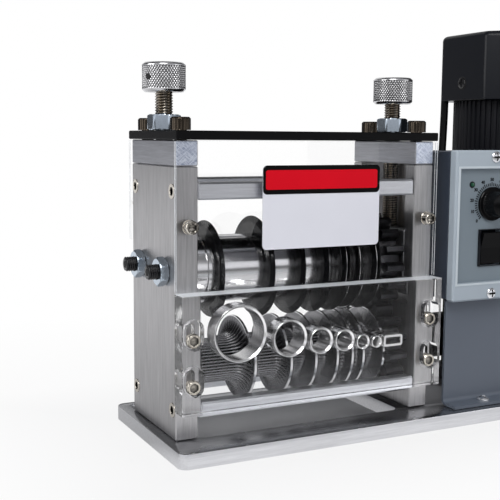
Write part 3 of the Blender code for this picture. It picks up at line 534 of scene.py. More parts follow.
def lathe(name, profile, centre, axis, surface, sides=96, bore=0, cutting=None, sharp=35):
    """Spin (height, radius) points round an axis; cutting(height, turn) is taken off the radius."""
    rows = list(profile)
    if bore:
        rows = [(rows[0][0], bore)] + rows + [(rows[-1][0], bore)]
    points = []
    cuts = []
    for height, radius in rows:
        for step in range(sides):
            angle = math.tau * step / sides
            cut = cutting(height, angle) if cutting and radius != bore else 0
            cuts.append(cut)
            here = radius - cut
            local = Vector((here * math.cos(angle), here * math.sin(angle), height))
            points.append(at(*(Vector(centre) + AXES[axis] @ local)))
    faces = walls(len(rows), sides, bool(bore))
    if not bore:
        faces += caps(len(rows), sides)
    deepest = max(cuts)
    shares = [cut / deepest for cut in cuts] if deepest else ()
    return shape_object(name, points, faces, surface, sharp, shares)


# %% [markdown]
# Seven blades stand on the upper shaft with polished spacers between them. Each is a thin black disc
# ground to an edge from both sides. The photograph's light catches that edge on the last three as a
# thin bright line, so those three get a narrow bright ring.

# %% Blades
LANES = (37, 72.3, 95.3, 113.3, 127.5, 138.3, 151.8)
BLADE_RADII = (32, 34, 34, 34, 34, 34, 34)
DEEP = 39
BLADE_LINE = (0, DEEP, 103.5)
BORE = 12.8
for number, (lane, radius) in enumerate(zip(LANES, BLADE_RADII), 1):
    blade = lathe(
        f"blade_disc_{number}",
        [
            (lane - 1.5, radius - 4.2), (lane - 1.3, radius - 4.0), (lane - 0.12, radius),
            (lane + 0.12, radius), (lane + 1.3, radius - 4.0), (lane + 1.5, radius - 4.2),
        ],
        BLADE_LINE, "X", blade_steel, 128, BORE, sharp=20,
    )
    ride(blade, "blade_roller", "blade_steel", f"blade_{number}")
# The bright steel rings on blades 5 to 7 are a painted highlight along their ground edges.
for number, half in ((5, 0.2), (6, 0.5), (7, 0.2)):
    lane, radius = LANES[number - 1], BLADE_RADII[number - 1]
    edge = lathe(
        f"blade_edge_{number}",
        [
            (lane - half, radius - half * 2), (lane - 0.1, radius + 0.04), (lane + 0.1, radius + 0.04),
            (lane + half, radius - half * 2),
        ],
        BLADE_LINE, "X", bright_steel, 128, radius - 2, sharp=20,
    )
    ride(edge, "blade_roller", "blade_steel")

# %% [markdown]
# The spacers are polished sleeves with a broken edge at both ends. The shaft is one turned bar with two
# clamp rings, so it is one profile from end to end.

# %% Spacers and blade shaft
SPACER = 22
for number, (left, right) in enumerate(zip(LANES, LANES[1:]), 1):
    low, high = left + 1.8, right - 1.8
    spacer = lathe(
        f"spacer_sleeve_{number}",
        [(low, SPACER - 0.7), (low + 0.7, SPACER), (high - 0.7, SPACER), (high, SPACER - 0.7)],
        BLADE_LINE, "X", bright_steel, 96, BORE,
    )
    ride(spacer, "blade_roller", "polished_steel", f"blade_spacer_{number}")
shaft_rows = [
    (4.6, 11.9), (5.2, 12.5), (20.5, 12.5), (20.5, 21.2), (21.3, 22), (29.1, 22), (29.7, 21.4), (30.3, 22),
    (34.4, 22), (35.2, 21.2), (35.2, 12.5), (153.6, 12.5), (153.6, 21.2), (154.4, 22), (160.4, 22),
    (161.2, 21.2), (161.2, 12.5), (187.8, 12.5), (188.4, 11.9),
]
shaft = lathe("blade_shaft_turned", shaft_rows, BLADE_LINE, "X", bright_steel)
ride(shaft, "blade_roller", "polished_steel", "blade_shaft")

# %% [markdown]
# The feed roller is one dark bar with a groove under each blade. Its flanks carry fine ribs that grip
# the cable, and a narrow polished rim is left between the grooves. The rib is a cosine along the turn,
# faded at the rims.

# %% Feed roller
FEED_LINE = (0, DEEP, 41.5)
RIMS = (17, 59, 86, 105, 122, 134, 143, 159.6)
RIM_RADIUS = 28
LAND = 1.2
RIBS = 44
BENDS = 8
roller_rows = [(RIMS[0] - LAND / 2, RIM_RADIUS)]
for left, right in zip(RIMS, RIMS[1:]):
    start, end = left + LAND / 2, right - LAND / 2
    wide = end - start
    deep = min(13, 0.75 * wide)
    flare = wide * 0.24
    roller_rows.append((start, RIM_RADIUS))
    for step in range(1, BENDS + 1):
        bend = math.pi / 2 * step / BENDS
        roller_rows.append((start + flare * (1 - math.cos(bend)), RIM_RADIUS - deep * math.sin(bend)))
    for step in range(BENDS, 0, -1):
        bend = math.pi / 2 * step / BENDS
        roller_rows.append((end - flare * (1 - math.cos(bend)), RIM_RADIUS - deep * math.sin(bend)))
    roller_rows.append((end, RIM_RADIUS))
roller_rows.append((RIMS[-1] + LAND / 2, RIM_RADIUS))


def rib(height, angle):
    """How deep the ribs cut at a height along the roller."""
    near = min(abs(height - rim) for rim in RIMS)
    fade = min(1, max(0, (near - LAND / 2) / 0.8))
    return fade * (0.5 - 0.5 * math.cos(RIBS * angle)) ** 1.6


# roller_steel darkens the ribs' cuts as painted shade.
roller = lathe("feed_roller_ribbed", roller_rows, FEED_LINE, "X", roller_steel, RIBS * 12, BORE, rib, 50)
ride(roller, "drive_roller", "dark_steel", "feed_roller")
for number, rim in enumerate(RIMS, 1):
    rim_rows = [
        (rim - 0.9, RIM_RADIUS - 0.5), (rim - 0.8, RIM_RADIUS + 0.03), (rim + 0.8, RIM_RADIUS + 0.03),
        (rim + 0.9, RIM_RADIUS - 0.5),
    ]
    land = lathe(f"roller_rim_{number}", rim_rows, FEED_LINE, "X", bright_steel, 128, RIM_RADIUS - 0.6)
    ride(land, "drive_roller", "dark_steel")
coupling_rows = [
    (200, 16.2), (200.6, 16.8), (220.4, 16.8), (221, 16.2), (221, 13), (224, 13), (224, 16.2), (224.6, 16.8),
    (244.4, 16.8), (245, 16.2),
]
coupling = lathe("coupling_halves", coupling_rows, FEED_LINE, "X", black_paint, 96, 9.3)
ride(coupling, "drive_roller", "black_metal", "coupling")

# %% [markdown]
# Sawn edges of clear sheet are frosted and catch the light: thin pale strips, frosted edge and painted
# highlight at once, lie on the feed plate's top edge and along the corners of both guards. Boxes of
# eight corners are enough for them. Some pieces here are several such boxes.

# %% Sawn edges
BOX_FACES = ((0, 1, 2, 3), (7, 6, 5, 4), (0, 4, 5, 1), (1, 5, 6, 2), (2, 6, 7, 3), (3, 7, 4, 0))
STRIP = 0.06


def box(low, high):
    """The eight corners of a box between two places in machine millimetres."""
    points = []
    for z in (low[2], high[2]):
        for x, y in ((low[0], low[1]), (high[0], low[1]), (high[0], high[1]), (low[0], high[1])):
            points.append(at(x, y, z))
    return points


def boxes(name, blocks, surface):
    """One piece from blocks of eight points each: four round one end, then the four round the other."""
    faces = []
    for start in range(0, 8 * len(blocks), 8):
        for quad in BOX_FACES:
            faces.append(tuple(start + corner for corner in quad))
    return shape_object(name, [point for block in blocks for point in block], faces, surface)


plate_edge = boxes("feed_plate_top_edge", [box((-1, -13.1, 94.3), (194, -0.5, 94.38))], sawn_edge_highlight)
ride(plate_edge, "feed_plate_set", "clear_acrylic")
for guard in ("front_guard", "rear_guard"):
    spots = [Vector(corner) / MM + Vector((OX, OY, OZ)) for corner in nodes[guard].bound_box]
    lows = [min(spot[axis] for spot in spots) for axis in range(3)]
    highs = [max(spot[axis] for spot in spots) for axis in range(3)]
    for side, x in (("left", lows[0]), ("right", highs[0] - STRIP)):
        for corner, y in (("front", lows[1] + 0.5), ("back", highs[1] - 1.1)):
            sawn = boxes(
                f"{guard}_{side}_{corner}_edge",
                [box((x, y, lows[2] + 0.6), (x + STRIP, y + 0.6, highs[2] - 0.6))], sawn_edge_highlight,
            )
            ride(sawn, "frame", "clear_acrylic")

# %% [markdown]
# The base plate is drawn as closed curves in plan, filled and given thickness and a broken edge by the
# curve itself, so its corners are truly round. Its top is coloured darker than its edges, a painted dark
# reflection: the same metal in a second material slot, given to the faces that look up.

# %% Base plate


def round_corners(left, right, low, high, radius, steps):
    """Points round a rectangle with round corners."""
    loop = []
    corners = ((right, high, -1, -1), (left, high, 1, -1), (left, low, 1, 1), (right, low, -1, 1))
    for quarter, (x, y, sx, sy) in enumerate(corners):
        for step in range(steps + 1):
            angle = (quarter + step / steps) * math.pi / 2
            across = x + sx * radius + radius * math.cos(angle)
            loop.append((across, y + sy * radius + radius * math.sin(angle)))
    return loop


def circle(x, y, radius, steps):
    """Points round a circle."""
    turns = [math.tau * step / steps for step in range(steps)]
    return [(x + radius * math.cos(turn), y + radius * math.sin(turn)) for turn in turns]


def plain_mesh(carrier, surface):
    """Turn a curve, a text or an object with a modifier into a plain mesh of one finish."""
    bpy.context.view_layer.update()
    mesh = bpy.data.meshes.new_from_object(carrier.evaluated_get(bpy.context.evaluated_depsgraph_get()))
    bpy.data.objects.remove(carrier)
    mesh.materials.clear()
    mesh.materials.append(surface)
    return mesh


def slab(name, loops, low, high, edge, surface, sharp):
    """A flat plate in plan from closed loops, the first its outline and the rest its holes."""
    drawn = bpy.data.curves.new(name, "CURVE")
    drawn.dimensions = "2D"
    drawn.fill_mode = "BOTH"
    drawn.extrude = ((high - low) / 2 - edge) * MM
    drawn.bevel_depth = edge * MM
    drawn.bevel_resolution = 1
    drawn.offset = -edge * MM
    for loop in loops:
        spline = drawn.splines.new("POLY")
        spline.points.add(len(loop) - 1)
        spline.use_cyclic_u = True
        for point, (x, y) in zip(spline.points, loop):
            point.co = (*at(x, y, 0).xy, 0, 1)
    mesh = plain_mesh(put(name, drawn), surface)
    mesh.transform(Matrix.Translation((0, 0, at(0, 0, (low + high) / 2).z)))
    form = bmesh.new()
    form.from_mesh(mesh)
    bmesh.ops.remove_doubles(form, verts=form.verts, dist=MERGE)
    form.to_mesh(mesh)
    form.free()
    smooth(mesh, sharp)
    return put(name, mesh)


outline = round_corners(-7, 350, -25.5, 97.5, 6, 12)
chute = round_corners(16, 170, 1, 77, 6, 12)
bench_holes = [circle(x, 89, 4, 48) for x in (5.5, 337.5)]
base = slab("base_plate_milled", [outline, chute, *bench_holes], -10, 0, 0.6, base_metal, 25)
base.data.materials.append(base_top_painted_dark)
for face in base.data.polygons:
    face.material_index = int(face.normal.z > 0.9)
ride(base, "frame", "polished_aluminium", "base_plate")

# %% [markdown]
# Guide tubes are short bright rings of steel tube, each with its two rims broken. A bored profile gives
# the wall and both rims in one turn. They all stand on one line, so that a tube's height comes from its
# radius.

# %% Guide tubes
TUBES = ((36.2, 1.5), (24.3, 1.5), (17.4, 1.5), (14.6, 1.5), (10, 1.2), (8, 1))
TUBE_FLOOR = 51
for number, (lane, (across, wall)) in enumerate(zip(LANES, TUBES), 1):
    radius = across / 2
    tube_rows = [
        (-16, radius - wall), (-17, radius - 0.45), (-17, radius - 0.2), (-16.8, radius), (-0.7, radius),
        (-0.5, radius - 0.2),
    ]
    centre = (lane, 0, TUBE_FLOOR + radius)
    tube = lathe(f"tube_ring_{number}", tube_rows, centre, "Y", tube_steel, 96, radius - wall)
    ride(tube, "feed_plate_set", "satin_steel", f"guide_tube_{number}")

# %% [markdown]
# A knob is gripped by its knurl: two sets of helical cuts that cross and leave little diamonds. The cut
# depth is the larger of two slanted cosines, and it stops short of both rims. A thread is one helix in
# the radius, whose height rises by the pitch in each turn. A bump would give neither its outline.

# %% Knurl and thread
KNURLS = 46


def knurl_between(low, high):
    """A diamond knurl between two heights."""
    def depth(height, angle):
        if not low < height < high:
            return 0
        slant = (height - low) * 0.0525
        one = 0.5 - 0.5 * math.cos(KNURLS * (angle + slant))
        two = 0.5 - 0.5 * math.cos(KNURLS * (angle - slant))
        return 0.6 * max(one, two) ** 2
    return depth


def thread_between(low, high, pitch, deep):
    """A screw thread between two heights, as a helix in the radius."""
    def depth(height, angle):
        if not low < height < high:
            return 0
        share = (height / pitch - angle / math.tau) % 1
        return deep * (1 - abs(2 * share - 1))
    return depth


# %% [markdown]
# Both adjusters are alike: a knob, a threaded stud below it and a dark disc of painted shade in the
# small hole of the screw that holds the knob. The disc is turned round the knob, to where it is seen.

# %% Adjusters
STUDS = {"left": 8, "right": 185}
KNOB_FEET = {"left": 219, "right": 215}
HOLE_TURNS = {"left": -157, "right": 30}
KNOB = 14
KNOB_TALL = 18.5
KNOB_STEPS = 44
PITCH = 1.75
for side, x in STUDS.items():
    low = KNOB_FEET[side]
    high = low + KNOB_TALL
    rows = [(low, 6.5), (low, 12.5), (low + 1.4, KNOB), (low + 2.2, KNOB)]
    for step in range(KNOB_STEPS + 1):
        rows.append((low + 2.3 + (high - low - 4.6) * step / KNOB_STEPS, KNOB))
    rows += [(high - 2.2, KNOB), (high - 1.4, KNOB), (high, 12.5), (high, 6.2), (high - 0.8, 5.6)]
    knurl = knurl_between(low + 2.25, high - 2.25)
    # knob_steel darkens the knurl's cuts as painted shade.
    knob = lathe(f"{side}_knob", rows, (x, DEEP, 0), "Z", knob_steel, KNURLS * 6, 0, knurl, 60)
    ride(knob, f"{side}_adjuster", "screw_steel")
    rows = [(119.1, 2.8), (126.7, 2.8), (126.8, 5)]
    height = 127.4
    while height < low:
        rows.append((height, 6))
        height += PITCH / 6
    rows.append((low + 1, 6))
    thread = thread_between(127, low + 2, PITCH, 1.0)
    # thread_steel darkens the thread's roots as painted shade.
    stud = lathe(f"{side}_stud", rows, (x, DEEP, 0), "Z", thread_steel, 48, 0, thread, 60)
    ride(stud, f"{side}_adjuster", "screw_steel", f"{side}_adjuster")
    # A dark disc of painted shade in the knob's screw hole.
    bore = lathe(f"{side}_grub_hole", [(13, 1.9), (14.06, 1.9)], (0, 0, 0), "X", hole_shade, 32)
    pivot = at(x, DEEP, low + KNOB_TALL / 2)
    spin = Matrix.Translation(pivot) @ Matrix.Rotation(math.radians(HOLE_TURNS[side]), 4, "Z")
    bore.data.transform(spin @ Matrix.Translation(-at(0, 0, 0)))
    ride(bore, f"{side}_adjuster", "screw_steel")

# %% [markdown]
# A socket screw has a round head with a chamfer, a knurled side and a hexagon sunk in its top. The
# socket is lofted: every ring has the same number of points, so the round rim can run into the hexagon.

# %% Socket heads


def hexagon(radius, angle):
    """The distance to a hexagon's side in a direction."""
    part = (angle + math.pi / 6) % (math.pi / 3) - math.pi / 6
    return radius * math.cos(math.pi / 6) / math.cos(part)


def socket_head(head, tall, socket, deep, lobes=0, shank=0, reach=0):
    """A screw head standing on the origin along +Z, in millimetres; returns its points, faces and cuts."""
    sides = 80
    turns = [math.tau * step / sides for step in range(sides)]
    grip = [0.5 - 0.5 * math.cos(lobes * turn) for turn in turns]
    rings = []
    if reach:
        rings.append([(shank, -reach, 0)] * sides)
        rings.append([(shank, 0, 0)] * sides)
    rings.append([(head, 0, 0)] * sides)
    # The flutes carry part of their depth as cut, which darkens them as painted shade.
    for share in (0.08, 0.86):
        rings.append([(head - 0.35 * cut, tall * share, 0.8 * cut) for cut in grip])
    rings.append([(head - 0.05 * tall, tall * 0.93, 0)] * sides)
    rings.append([(head - 0.12 * tall, tall, 0)] * sides)
    rings.append([(socket * 1.12, tall, 0)] * sides)
    corner = socket / math.cos(math.pi / 6)
    # The socket's walls carry a cut of 1, painted shade; the middle of its floor 0.5, a lighter painted
    # glint.
    for radius, sunk, cut in ((corner, 0.1, 1), (corner, 0.7, 1), (corner * 0.3, 1, 0.5)):
        rings.append([(hexagon(radius, turn), tall - sunk * deep, cut) for turn in turns])
    points = []
    cuts = []
    for ring in rings:
        for turn, (radius, height, cut) in zip(turns, ring):
            points.append(Vector((radius * math.cos(turn), radius * math.sin(turn), height)))
            cuts.append(cut)
    return points, walls(len(rings), sides) + caps(len(rings), sides), cuts


# %% [markdown]
# Panel screws have a dome with a cross in it. That is a height over a round grid of points: the dome's
# own, less the recess where a point lies in one of two slots. The rings run outwards, so the faces are
# turned over.

# %% Cross heads


def cross_head(head, tall, slot, deep):
    """A domed head with a cross recess, standing as the other does; returns its points, faces and cuts."""
    sides = 96
    rings = 14
    turns = [math.tau * step / sides for step in range(sides)]
    points = []
    cuts = []
    for ring in range(rings + 1):
        out_to = head * ring / rings
        for turn in turns:
            x, y = out_to * math.cos(turn), out_to * math.sin(turn)
            inside = min(abs(x), abs(y)) < slot and out_to < head * 0.68
            height = tall * math.sqrt(max(0, 1 - (out_to / head) ** 2 * 0.85)) - (deep if inside else 0)
            points.append(Vector((x, y, height)))
            # Points in the recess carry a cut of 1, which darkens them as painted shade.
            cuts.append(1.0 if inside else 0.0)
    for turn in turns:
        points.append(Vector((head * math.cos(turn), head * math.sin(turn), 0)))
        cuts.append(0.0)
    foot = caps(rings + 2, sides)[1]
    faces = [tuple(reversed(face)) for face in walls(rings + 2, sides) + [foot]]
    return points, faces, cuts


# %% [markdown]
# Identical screws are a job for Geometry Nodes: one head is instanced on a point for each screw, which
# named inputs hand in with its finish. The result is baked to a plain mesh, because the export drops
# instances.

# %% Rows of screws
WAYS = {
    "+Z": Matrix.Identity(3),
    "-X": Matrix(((0, 0, -1), (0, 1, 0), (1, 0, 0))),
    "+X": Matrix(((0, 0, 1), (0, 1, 0), (-1, 0, 0))),
    "-Y": Matrix(((1, 0, 0), (0, 0, -1), (0, 1, 0))),
    "+Y": Matrix(((1, 0, 0), (0, 0, 1), (0, -1, 0))),
}


def screw_rows(name, head, spots, way, surface):
    """Put one screw head on each spot; way is the direction that the head looks in."""
    points, faces, cuts = head
    head_mesh = bpy.data.meshes.new(name + "_head")
    head_mesh.from_pydata([tuple(WAYS[way] @ point * MM) for point in points], [], faces)
    head_mesh.attributes.new("cut", "FLOAT", "POINT").data.foreach_set("value", cuts)
    smooth(head_mesh, 35)
    template = put(name + "_head", head_mesh)
    spots_mesh = bpy.data.meshes.new(name)
    spots_mesh.from_pydata([tuple(at(*spot)) for spot in spots], [], [])
    carrier = put(name, spots_mesh)
    group = bpy.data.node_groups.new(name, "GeometryNodeTree")
    for label, kind in (("Spots", "Geometry"), ("Head", "Object"), ("Finish", "Material")):
        group.interface.new_socket(label, in_out="INPUT", socket_type="NodeSocket" + kind)
    group.interface.new_socket("Screws", in_out="OUTPUT", socket_type="NodeSocketGeometry")
    entry = group.nodes.new("NodeGroupInput").outputs
    info = group.nodes.new("GeometryNodeObjectInfo")
    copy = group.nodes.new("GeometryNodeInstanceOnPoints")
    real = group.nodes.new("GeometryNodeRealizeInstances")
    finish = group.nodes.new("GeometryNodeSetMaterial")
    leave = group.nodes.new("NodeGroupOutput")
    for source, target in (
        (entry["Spots"], copy.inputs["Points"]), (entry["Head"], info.inputs["Object"]),
        (info.outputs["Geometry"], copy.inputs["Instance"]), (copy.outputs[0], real.inputs[0]),
        (real.outputs[0], finish.inputs["Geometry"]), (entry["Finish"], finish.inputs["Material"]),
        (finish.outputs[0], leave.inputs[0]),
    ):
        group.links.new(source, target)
    layer = carrier.modifiers.new("screws", "NODES")
    layer.node_group = group
    handed_in = {"Head": template, "Finish": surface}
    for item in group.interface.items_tree:
        if item.name in handed_in:
            layer[item.identifier] = handed_in[item.name]
    mesh = plain_mesh(carrier, surface)
    mesh.name = name + "_mesh"
    bpy.data.objects.remove(template)
    return put(name, mesh)


# %% [markdown]
# Four cap screws hold the top plate, and flush ones the ends of the tie bars. Lists of places are made
# by two loops, because the screws stand in rows.

# %% Cap and tie screws
PLATE_MIDDLES = (7.5, 185.5)
cap_head = socket_head(6.5, 8, 3, 4, lobes=20, shank=4, reach=20)
cap_spots = [(x, y, 194.8) for x in PLATE_MIDDLES for y in (10, 68)]
cap_screws = screw_rows("cap_screws", cap_head, cap_spots, "+Z", cap_steel)
ride(cap_screws, "frame", "screw_steel", "cap_screw_1", "cap_screw_2", "cap_screw_3", "cap_screw_4")
tie_head = socket_head(4.7, 0.35, 2.4, 3)
for name, face, way in (("left_tie_screws", 0, "-X"), ("right_tie_screws", 193, "+X")):
    tie_spots = [(face, y, z) for y in (6, 72) for z in (19, 157.2)]
    ride(screw_rows(name, tie_head, tie_spots, way, small_screw_steel), "frame", "screw_steel")

# %% [markdown]
# The guards and the feed plate are held by small nickelled screws with proud heads. Each guard screw
# has a washer, a turned ring.

# %% Guard and feed plate screws
for name, y, z, way in (("guard", -4, 135.7, -1), ("back_guard", 82, 145, 1)):
    washer_rows = [(way * 0.05, 4.7), (way * 0.6, 4.7), (way * 0.8, 4.5)]
    for number, x in enumerate(PLATE_MIDDLES, 1):
        washer = lathe(f"{name}_washer_{number}", washer_rows, (x, y, z), "Y", small_screw_steel, 48, 2.2)
        ride(washer, "frame", "screw_steel")
guard_head = socket_head(4.3, 5.2, 2.4, 2.0)
plate_head = socket_head(4.6, 4.6, 2.7, 2.0)
for name, head, spots, way in (
    ("guard_screws", guard_head, [(x, -4.8, 135.7) for x in PLATE_MIDDLES], "-Y"),
    ("back_guard_screws", guard_head, [(x, 82.8, 145) for x in PLATE_MIDDLES], "+Y"),
    ("feed_plate_screws", plate_head, [(x, -7.6, z) for x in PLATE_MIDDLES for z in (66, 36.6)], "-Y"),
):
    ride(screw_rows(name, head, spots, way, small_screw_steel), "frame", "screw_steel")

# %% [markdown]
# The side set screws have jam nuts: a hexagon with both faces chamfered, and a threaded stub whose
# socket is a dark hexagon of painted shade. A nut is turned on the lathe too: the flats are a cut whose
# depth depends on the angle.

# %% Side set screws and nuts
SET_SCREW_HEIGHT = 106
SET_PITCH = 1.5


def hexagon_nut(name, ends, half_flats, bore, centre, axis):
    """A nut between two heights, with rounded corners at both ends."""
    low, high = ends
    corner = half_flats / math.cos(math.pi / 6)
    radii = {
        low: half_flats, low + 0.45: corner - 0.5, low + 0.9: corner, high - 0.9: corner,
        high - 0.45: corner - 0.5, high: half_flats,
    }

    def off_flats(height, angle):
        """What is taken off the round bar to leave the flats."""
        return max(0, radii[height] - hexagon(corner, angle))

    return lathe(name, list(radii.items()), centre, axis, zinc_steel, 144, bore, off_flats, 25)


for number, y in ((1, 18), (2, 60)):
    centre = (0, y, SET_SCREW_HEIGHT)
    rows = [(-12, 4.3)]
    height = -11.6
    while height < 3.5:
        rows.append((height, 5))
        height += SET_PITCH / 5
    rows.append((3.9, 4.4))
    thread = thread_between(-11.7, 4, SET_PITCH, 0.8)
    stub = lathe(f"set_screw_{number}", rows, centre, "X", black_screw, 48, 0, thread, 60)
    ride(stub, "frame", "screw_steel", f"side_set_screw_{number}")
    # A dark hexagon of painted shade stands for the socket.
    socket = lathe(f"set_socket_{number}", [(-12.06, 2.6), (-11.3, 2.6)], centre, "X", hole_shade, 6)
    ride(socket, "frame", "screw_steel")
    nut = hexagon_nut(f"jam_nut_{number}", (-5.8, -0.3), 8.25, 5.05, centre, "X")
    ride(nut, "frame", "zinc_steel")
for side, x in STUDS.items():
    heights = [spot[2] / MM + OZ for spot in nodes[f"{side}_lock_nut"].bound_box]
    nut = hexagon_nut(f"{side}_nut_turned", (min(heights), max(heights)), 9.5, 6.3, (x, DEEP, 0), "Z")
    ride(nut, "frame", "zinc_steel", f"{side}_lock_nut")

# %% [markdown]
# The plate on the front guard has a black header with a red stripe over a white field. Each colour is a
# thin plate of its own, so no image is needed.

# %% Sign


def flat_plate(name, loop, low, high, surface):
    """A flat outline in X and Z, between two depths."""
    points = [at(x, y, z) for y in (low, high) for x, z in loop]
    count = len(loop)
    return shape_object(name, points, walls(2, count) + caps(2, count), surface)


field = flat_plate("sign_field", round_corners(57.5, 145.5, 119.3, 173, 3, 8), -4.9, -4.35, sign_white)
ride(field, "frame", "bezel_paint")
header = flat_plate("sign_header", round_corners(57.5, 145.5, 154.6, 173, 3, 8), -5.0, -4.88, sign_black)
ride(header, "frame", "black_metal")
stripe = flat_plate("sign_stripe", round_corners(59.5, 143.5, 157.6, 170, 1.5, 8), -5.08, -4.98, sign_red)
ride(stripe, "frame", "bezel_paint")

# %% [markdown]
# The control panel has a sunk face round the switch's opening, inside a raised lip whose pale paint is a
# painted highlight. Boxes make both: four round the opening as one piece, and one for each side of the lip.

# %% Panel face and lip
face_blocks = []
for left, right, low, high in (
    (205.9, 226.9, 89.7, 169.8), (245.1, 265.7, 89.7, 169.8), (226.9, 245.1, 89.7, 101.1),
    (226.9, 245.1, 126.5, 169.8),
):
    face_blocks.append(box((left, -12.1, low), (right, -12.0, high)))
ride(boxes("panel_face", face_blocks, window_paint), "frame", "bezel_paint")
for number, (left, right, low, high) in enumerate((
    (203.9, 205.5, 87.9, 171.6), (266.1, 267.7, 87.9, 171.6), (205.5, 266.1, 87.9, 89.3),
    (205.5, 266.1, 170.2, 171.6),
), 1):
    lip = boxes(f"window_lip_{number}", [box((left, -15.3, low), (right, -14.9, high))], lip_highlight_paint)
    ride(lip, "frame", "bezel_paint")

# %% [markdown]
# The scale round the dial runs over 270 degrees, with a tick for every 2.5 steps and a figure for every
# ten. The figures are text objects made into meshes, so they need no font later.

# %% Scale
DIAL_X, DIAL_Z = 235.9, 145
SCALE_START = 225
SCALE_SWEEP = 270
TICKS = 40
TICK_REACH = 12.6
TICK_WIDE = 0.75
tick_blocks = []
for tick in range(TICKS + 1):
    angle = math.radians(SCALE_START - SCALE_SWEEP * tick / TICKS)
    end = TICK_REACH + (2.6 if tick % 4 == 0 else 2.0)
    along = Vector((math.cos(angle), math.sin(angle)))
    across = Vector((-along.y, along.x)) * TICK_WIDE / 2
    block = []
    for y in (-12.2, -12.08):
        for reach, sway in ((TICK_REACH, -1), (end, -1), (end, 1), (TICK_REACH, 1)):
            spot = along * reach + across * sway
            block.append(at(DIAL_X + spot.x, y, DIAL_Z + spot.y))
    tick_blocks.append(block)
ride(boxes("dial_ticks", tick_blocks, ink), "frame", "black_plastic")
for ten in range(11):
    text = bpy.data.curves.new(f"number_{ten}", "FONT")
    text.body = str(ten * 10)
    text.size = 3.1 * MM
    text.offset = 0.13 * MM
    text.extrude = 0.05 * MM
    text.align_x = "CENTER"
    text.align_y = "CENTER"
    mesh = plain_mesh(put(f"number_{ten}", text), ink)
    angle = math.radians(SCALE_START - SCALE_SWEEP * ten / 10)
    spot = at(DIAL_X + 17.6 * math.cos(angle), -12.15, DIAL_Z + 17.0 * math.sin(angle))
    mesh.transform(Matrix.Translation(spot) @ Matrix.Rotation(math.radians(90), 4, "X"))
    ride(put(f"dial_number_{ten}", mesh), "frame", "black_plastic")

# %% [markdown]
# The dial is a fluted knob with a white pointer and a smooth cap. The lamp is a small green bead in a
# black ring. All but the pointer are turned, and the flutes are one more rule for the lathe.

# %% Dial and lamp
DIAL_FOOT = (DIAL_X, -12, DIAL_Z)
LAMP_FOOT = (218.3, -12, 158.7)


def flute(height, angle):
    """How deep the dial's grip is cut, between its skirt and its top."""
    return 0.22 * (0.5 - 0.5 * math.cos(36 * angle)) if -12 < height < -2.6 else 0


dial_rows = [
    (-12.5, 5.5), (-12.3, 7.3), (-11.9, 8.0), (-2.8, 9.2), (-2.5, 9.4), (-2.5, 11.6), (-2.1, 12), (-0.5, 12),
    (-0.3, 11.8),
]
dial = lathe("dial_knob", dial_rows, DIAL_FOOT, "Y", knob_black, 144, 0, flute)
ride(dial, "speed_dial", "black_plastic", "speed_dial")
pointer_loop = [
    (DIAL_X - 0.5, DIAL_Z + 1), (DIAL_X + 0.5, DIAL_Z + 1), (DIAL_X + 0.5, DIAL_Z + 6.9),
    (DIAL_X - 0.5, DIAL_Z + 6.9),
]
pointer = flat_plate("dial_pointer", pointer_loop, -24.56, -24.35, mark_white)
ride(pointer, "speed_dial", "black_plastic")
cap_disc = lathe("dial_cap", [(-12.6, 5.9), (-12.45, 6.3)], DIAL_FOOT, "Y", knob_black)
ride(cap_disc, "speed_dial", "black_plastic")
lamp_rows = [(-1.5, 0.6), (-1.3, 1.2), (-0.7, 1.5), (0, 1.5)]
lamp = lathe("power_lamp", lamp_rows, LAMP_FOOT, "Y", lamp_green, 48)
ride(lamp, "frame", "black_plastic")
lamp_ring = lathe(
    "lamp_ring", [(-0.5, 1.7), (-0.5, 2.2), (-0.05, 2.4)], LAMP_FOOT, "Y", moulded_black, 48, 1.6
)
ride(lamp_ring, "frame", "black_plastic")

# %% [markdown]
# The switch's frame is a rectangle with an opening: two loops of four points at two depths, joined by
# four faces on each side. The panel's own screws are cross heads, placed in the same way as the socket
# screws.

# %% Switch frame and panel screws
outer = ((225.2, 100.6), (246.8, 100.6), (246.8, 127), (225.2, 127))
inner = ((226.9, 101.15), (245.1, 101.15), (245.1, 126.45), (226.9, 126.45))
rim_points = [at(x, y, z) for y in (-13.1, -12.05) for x, z in outer + inner]
rim_faces = []
for step in range(4):
    after = (step + 1) % 4
    rim_faces.append((step, after, after + 4, step + 4))
    rim_faces.append((step + 8, step + 12, after + 12, after + 8))
    rim_faces.append((step, step + 8, after + 8, after))
    rim_faces.append((step + 4, after + 4, after + 12, step + 12))
rim = shape_object("rocker_rim", rim_points, rim_faces, moulded_black)
ride(rim, "frame", "black_plastic")
pan = cross_head(3.9, 2.3, 0.55, 1.2)
button = cross_head(4.8, 3.1, 0.7, 1.4)
panel_screws = screw_rows("control_screws", pan, [(236, -15, 178), (236, -15, 81.2)], "-Y", panel_screw_steel)
ride(panel_screws, "frame", "screw_steel")
foot_spots = [(234.9, -12, 2.3), (320, -12, 2.3)]
foot_screws = screw_rows("flange_screws", button, foot_spots, "+Z", panel_screw_steel)
ride(foot_screws, "frame", "screw_steel")

# %% [markdown]
# The motor's fan cover is moulded: a square with cut corners whose edges are all rounded. It is lofted
# from one outline, which shrinks over the last rings to round the top.

# %% Fan cover
MOTOR_X = 292.5
COVER_TOP = 264.7


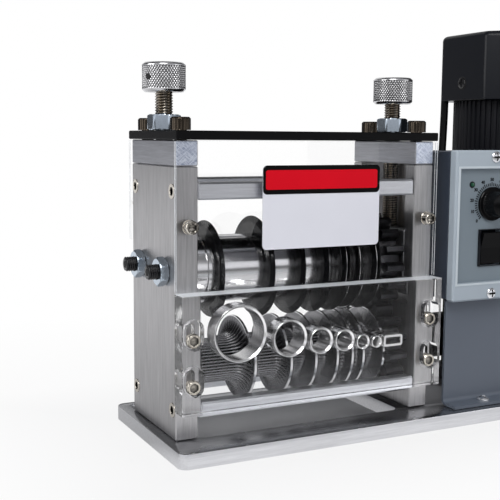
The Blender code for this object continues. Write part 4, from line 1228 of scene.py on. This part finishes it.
def fan_outline(half, chamfer, fillet, steps=6):
    """A square with cut corners whose eight edges are rounded, as points round it."""
    corners = []
    for quarter in range(4):
        cos, sin = math.cos(quarter * math.pi / 2), math.sin(quarter * math.pi / 2)
        for x, y in ((half, half - chamfer), (half - chamfer, half)):
            corners.append(Vector((x * cos - y * sin, x * sin + y * cos)))
    loop = []
    for index, corner in enumerate(corners):
        before = (corners[index - 1] - corner).normalized()
        after = (corners[(index + 1) % 8] - corner).normalized()
        reach = fillet * math.tan(math.radians(22.5))
        start, end = corner + before * reach, corner + after * reach
        for step in range(steps + 1):
            share = step / steps
            loop.append(start.lerp(corner, share).lerp(corner.lerp(end, share), share))
    return loop


fan_rings = [(219.3, 42.6, 18.5), (219.3, 44.6, 19.7), (219.7, 45, 20), (COVER_TOP, 45, 20)]
for step in range(1, 7):
    bend = math.pi / 2 * step / 6
    inset = 4 * (1 - math.cos(bend))
    fan_rings.append((COVER_TOP + 4 * math.sin(bend), 45 - inset, 20 - inset * 0.5))
fan_points = []
for height, half, chamfer in fan_rings:
    for spot in fan_outline(half, chamfer, 5):
        fan_points.append(at(MOTOR_X + spot.x, DEEP + spot.y, height))
around = len(fan_points) // len(fan_rings)
fan_faces = walls(len(fan_rings), around) + caps(len(fan_rings), around)
fan = shape_object("fan_cover_moulded", fan_points, fan_faces, moulded_black, 40)
ride(fan, "frame", "black_plastic", "fan_cover")
# A dark disc of painted shade stands in the screw's well.
fan_well_shade = lathe("fan_screw_well", [(247.42, 4.9), (247.5, 4.9)], (0, 39, 232), "X", hole_shade, 64)
ride(fan_well_shade, "frame", "black_plastic")
fan_screw = screw_rows(
    "fan_cover_screws", cross_head(4.1, 0.9, 0.6, 0.8), [(247.42, 39, 232)], "-X", black_screw
)
ride(fan_screw, "frame", "black_plastic")

# %% [markdown]
# The motor's body is a finned tube. Only a strip of it shows above the panel, but the back of the
# machine is open, so the whole of it is made, with finer fins than the solid's.

# %% Motor body
FINS = 60


def fin(height, angle):
    """What is cut from the body between two fins."""
    return 0 if math.cos(FINS * angle) > -0.55 else 1.2


body_rows = [(110, 39), (111, 41), (219, 41), (219.7, 40)]
motor = lathe("motor_fins", body_rows, (MOTOR_X, DEEP, 0), "Z", cast_black, FINS * 8, 0, fin, 30)
ride(motor, "frame", "dark_casting", "motor_body")
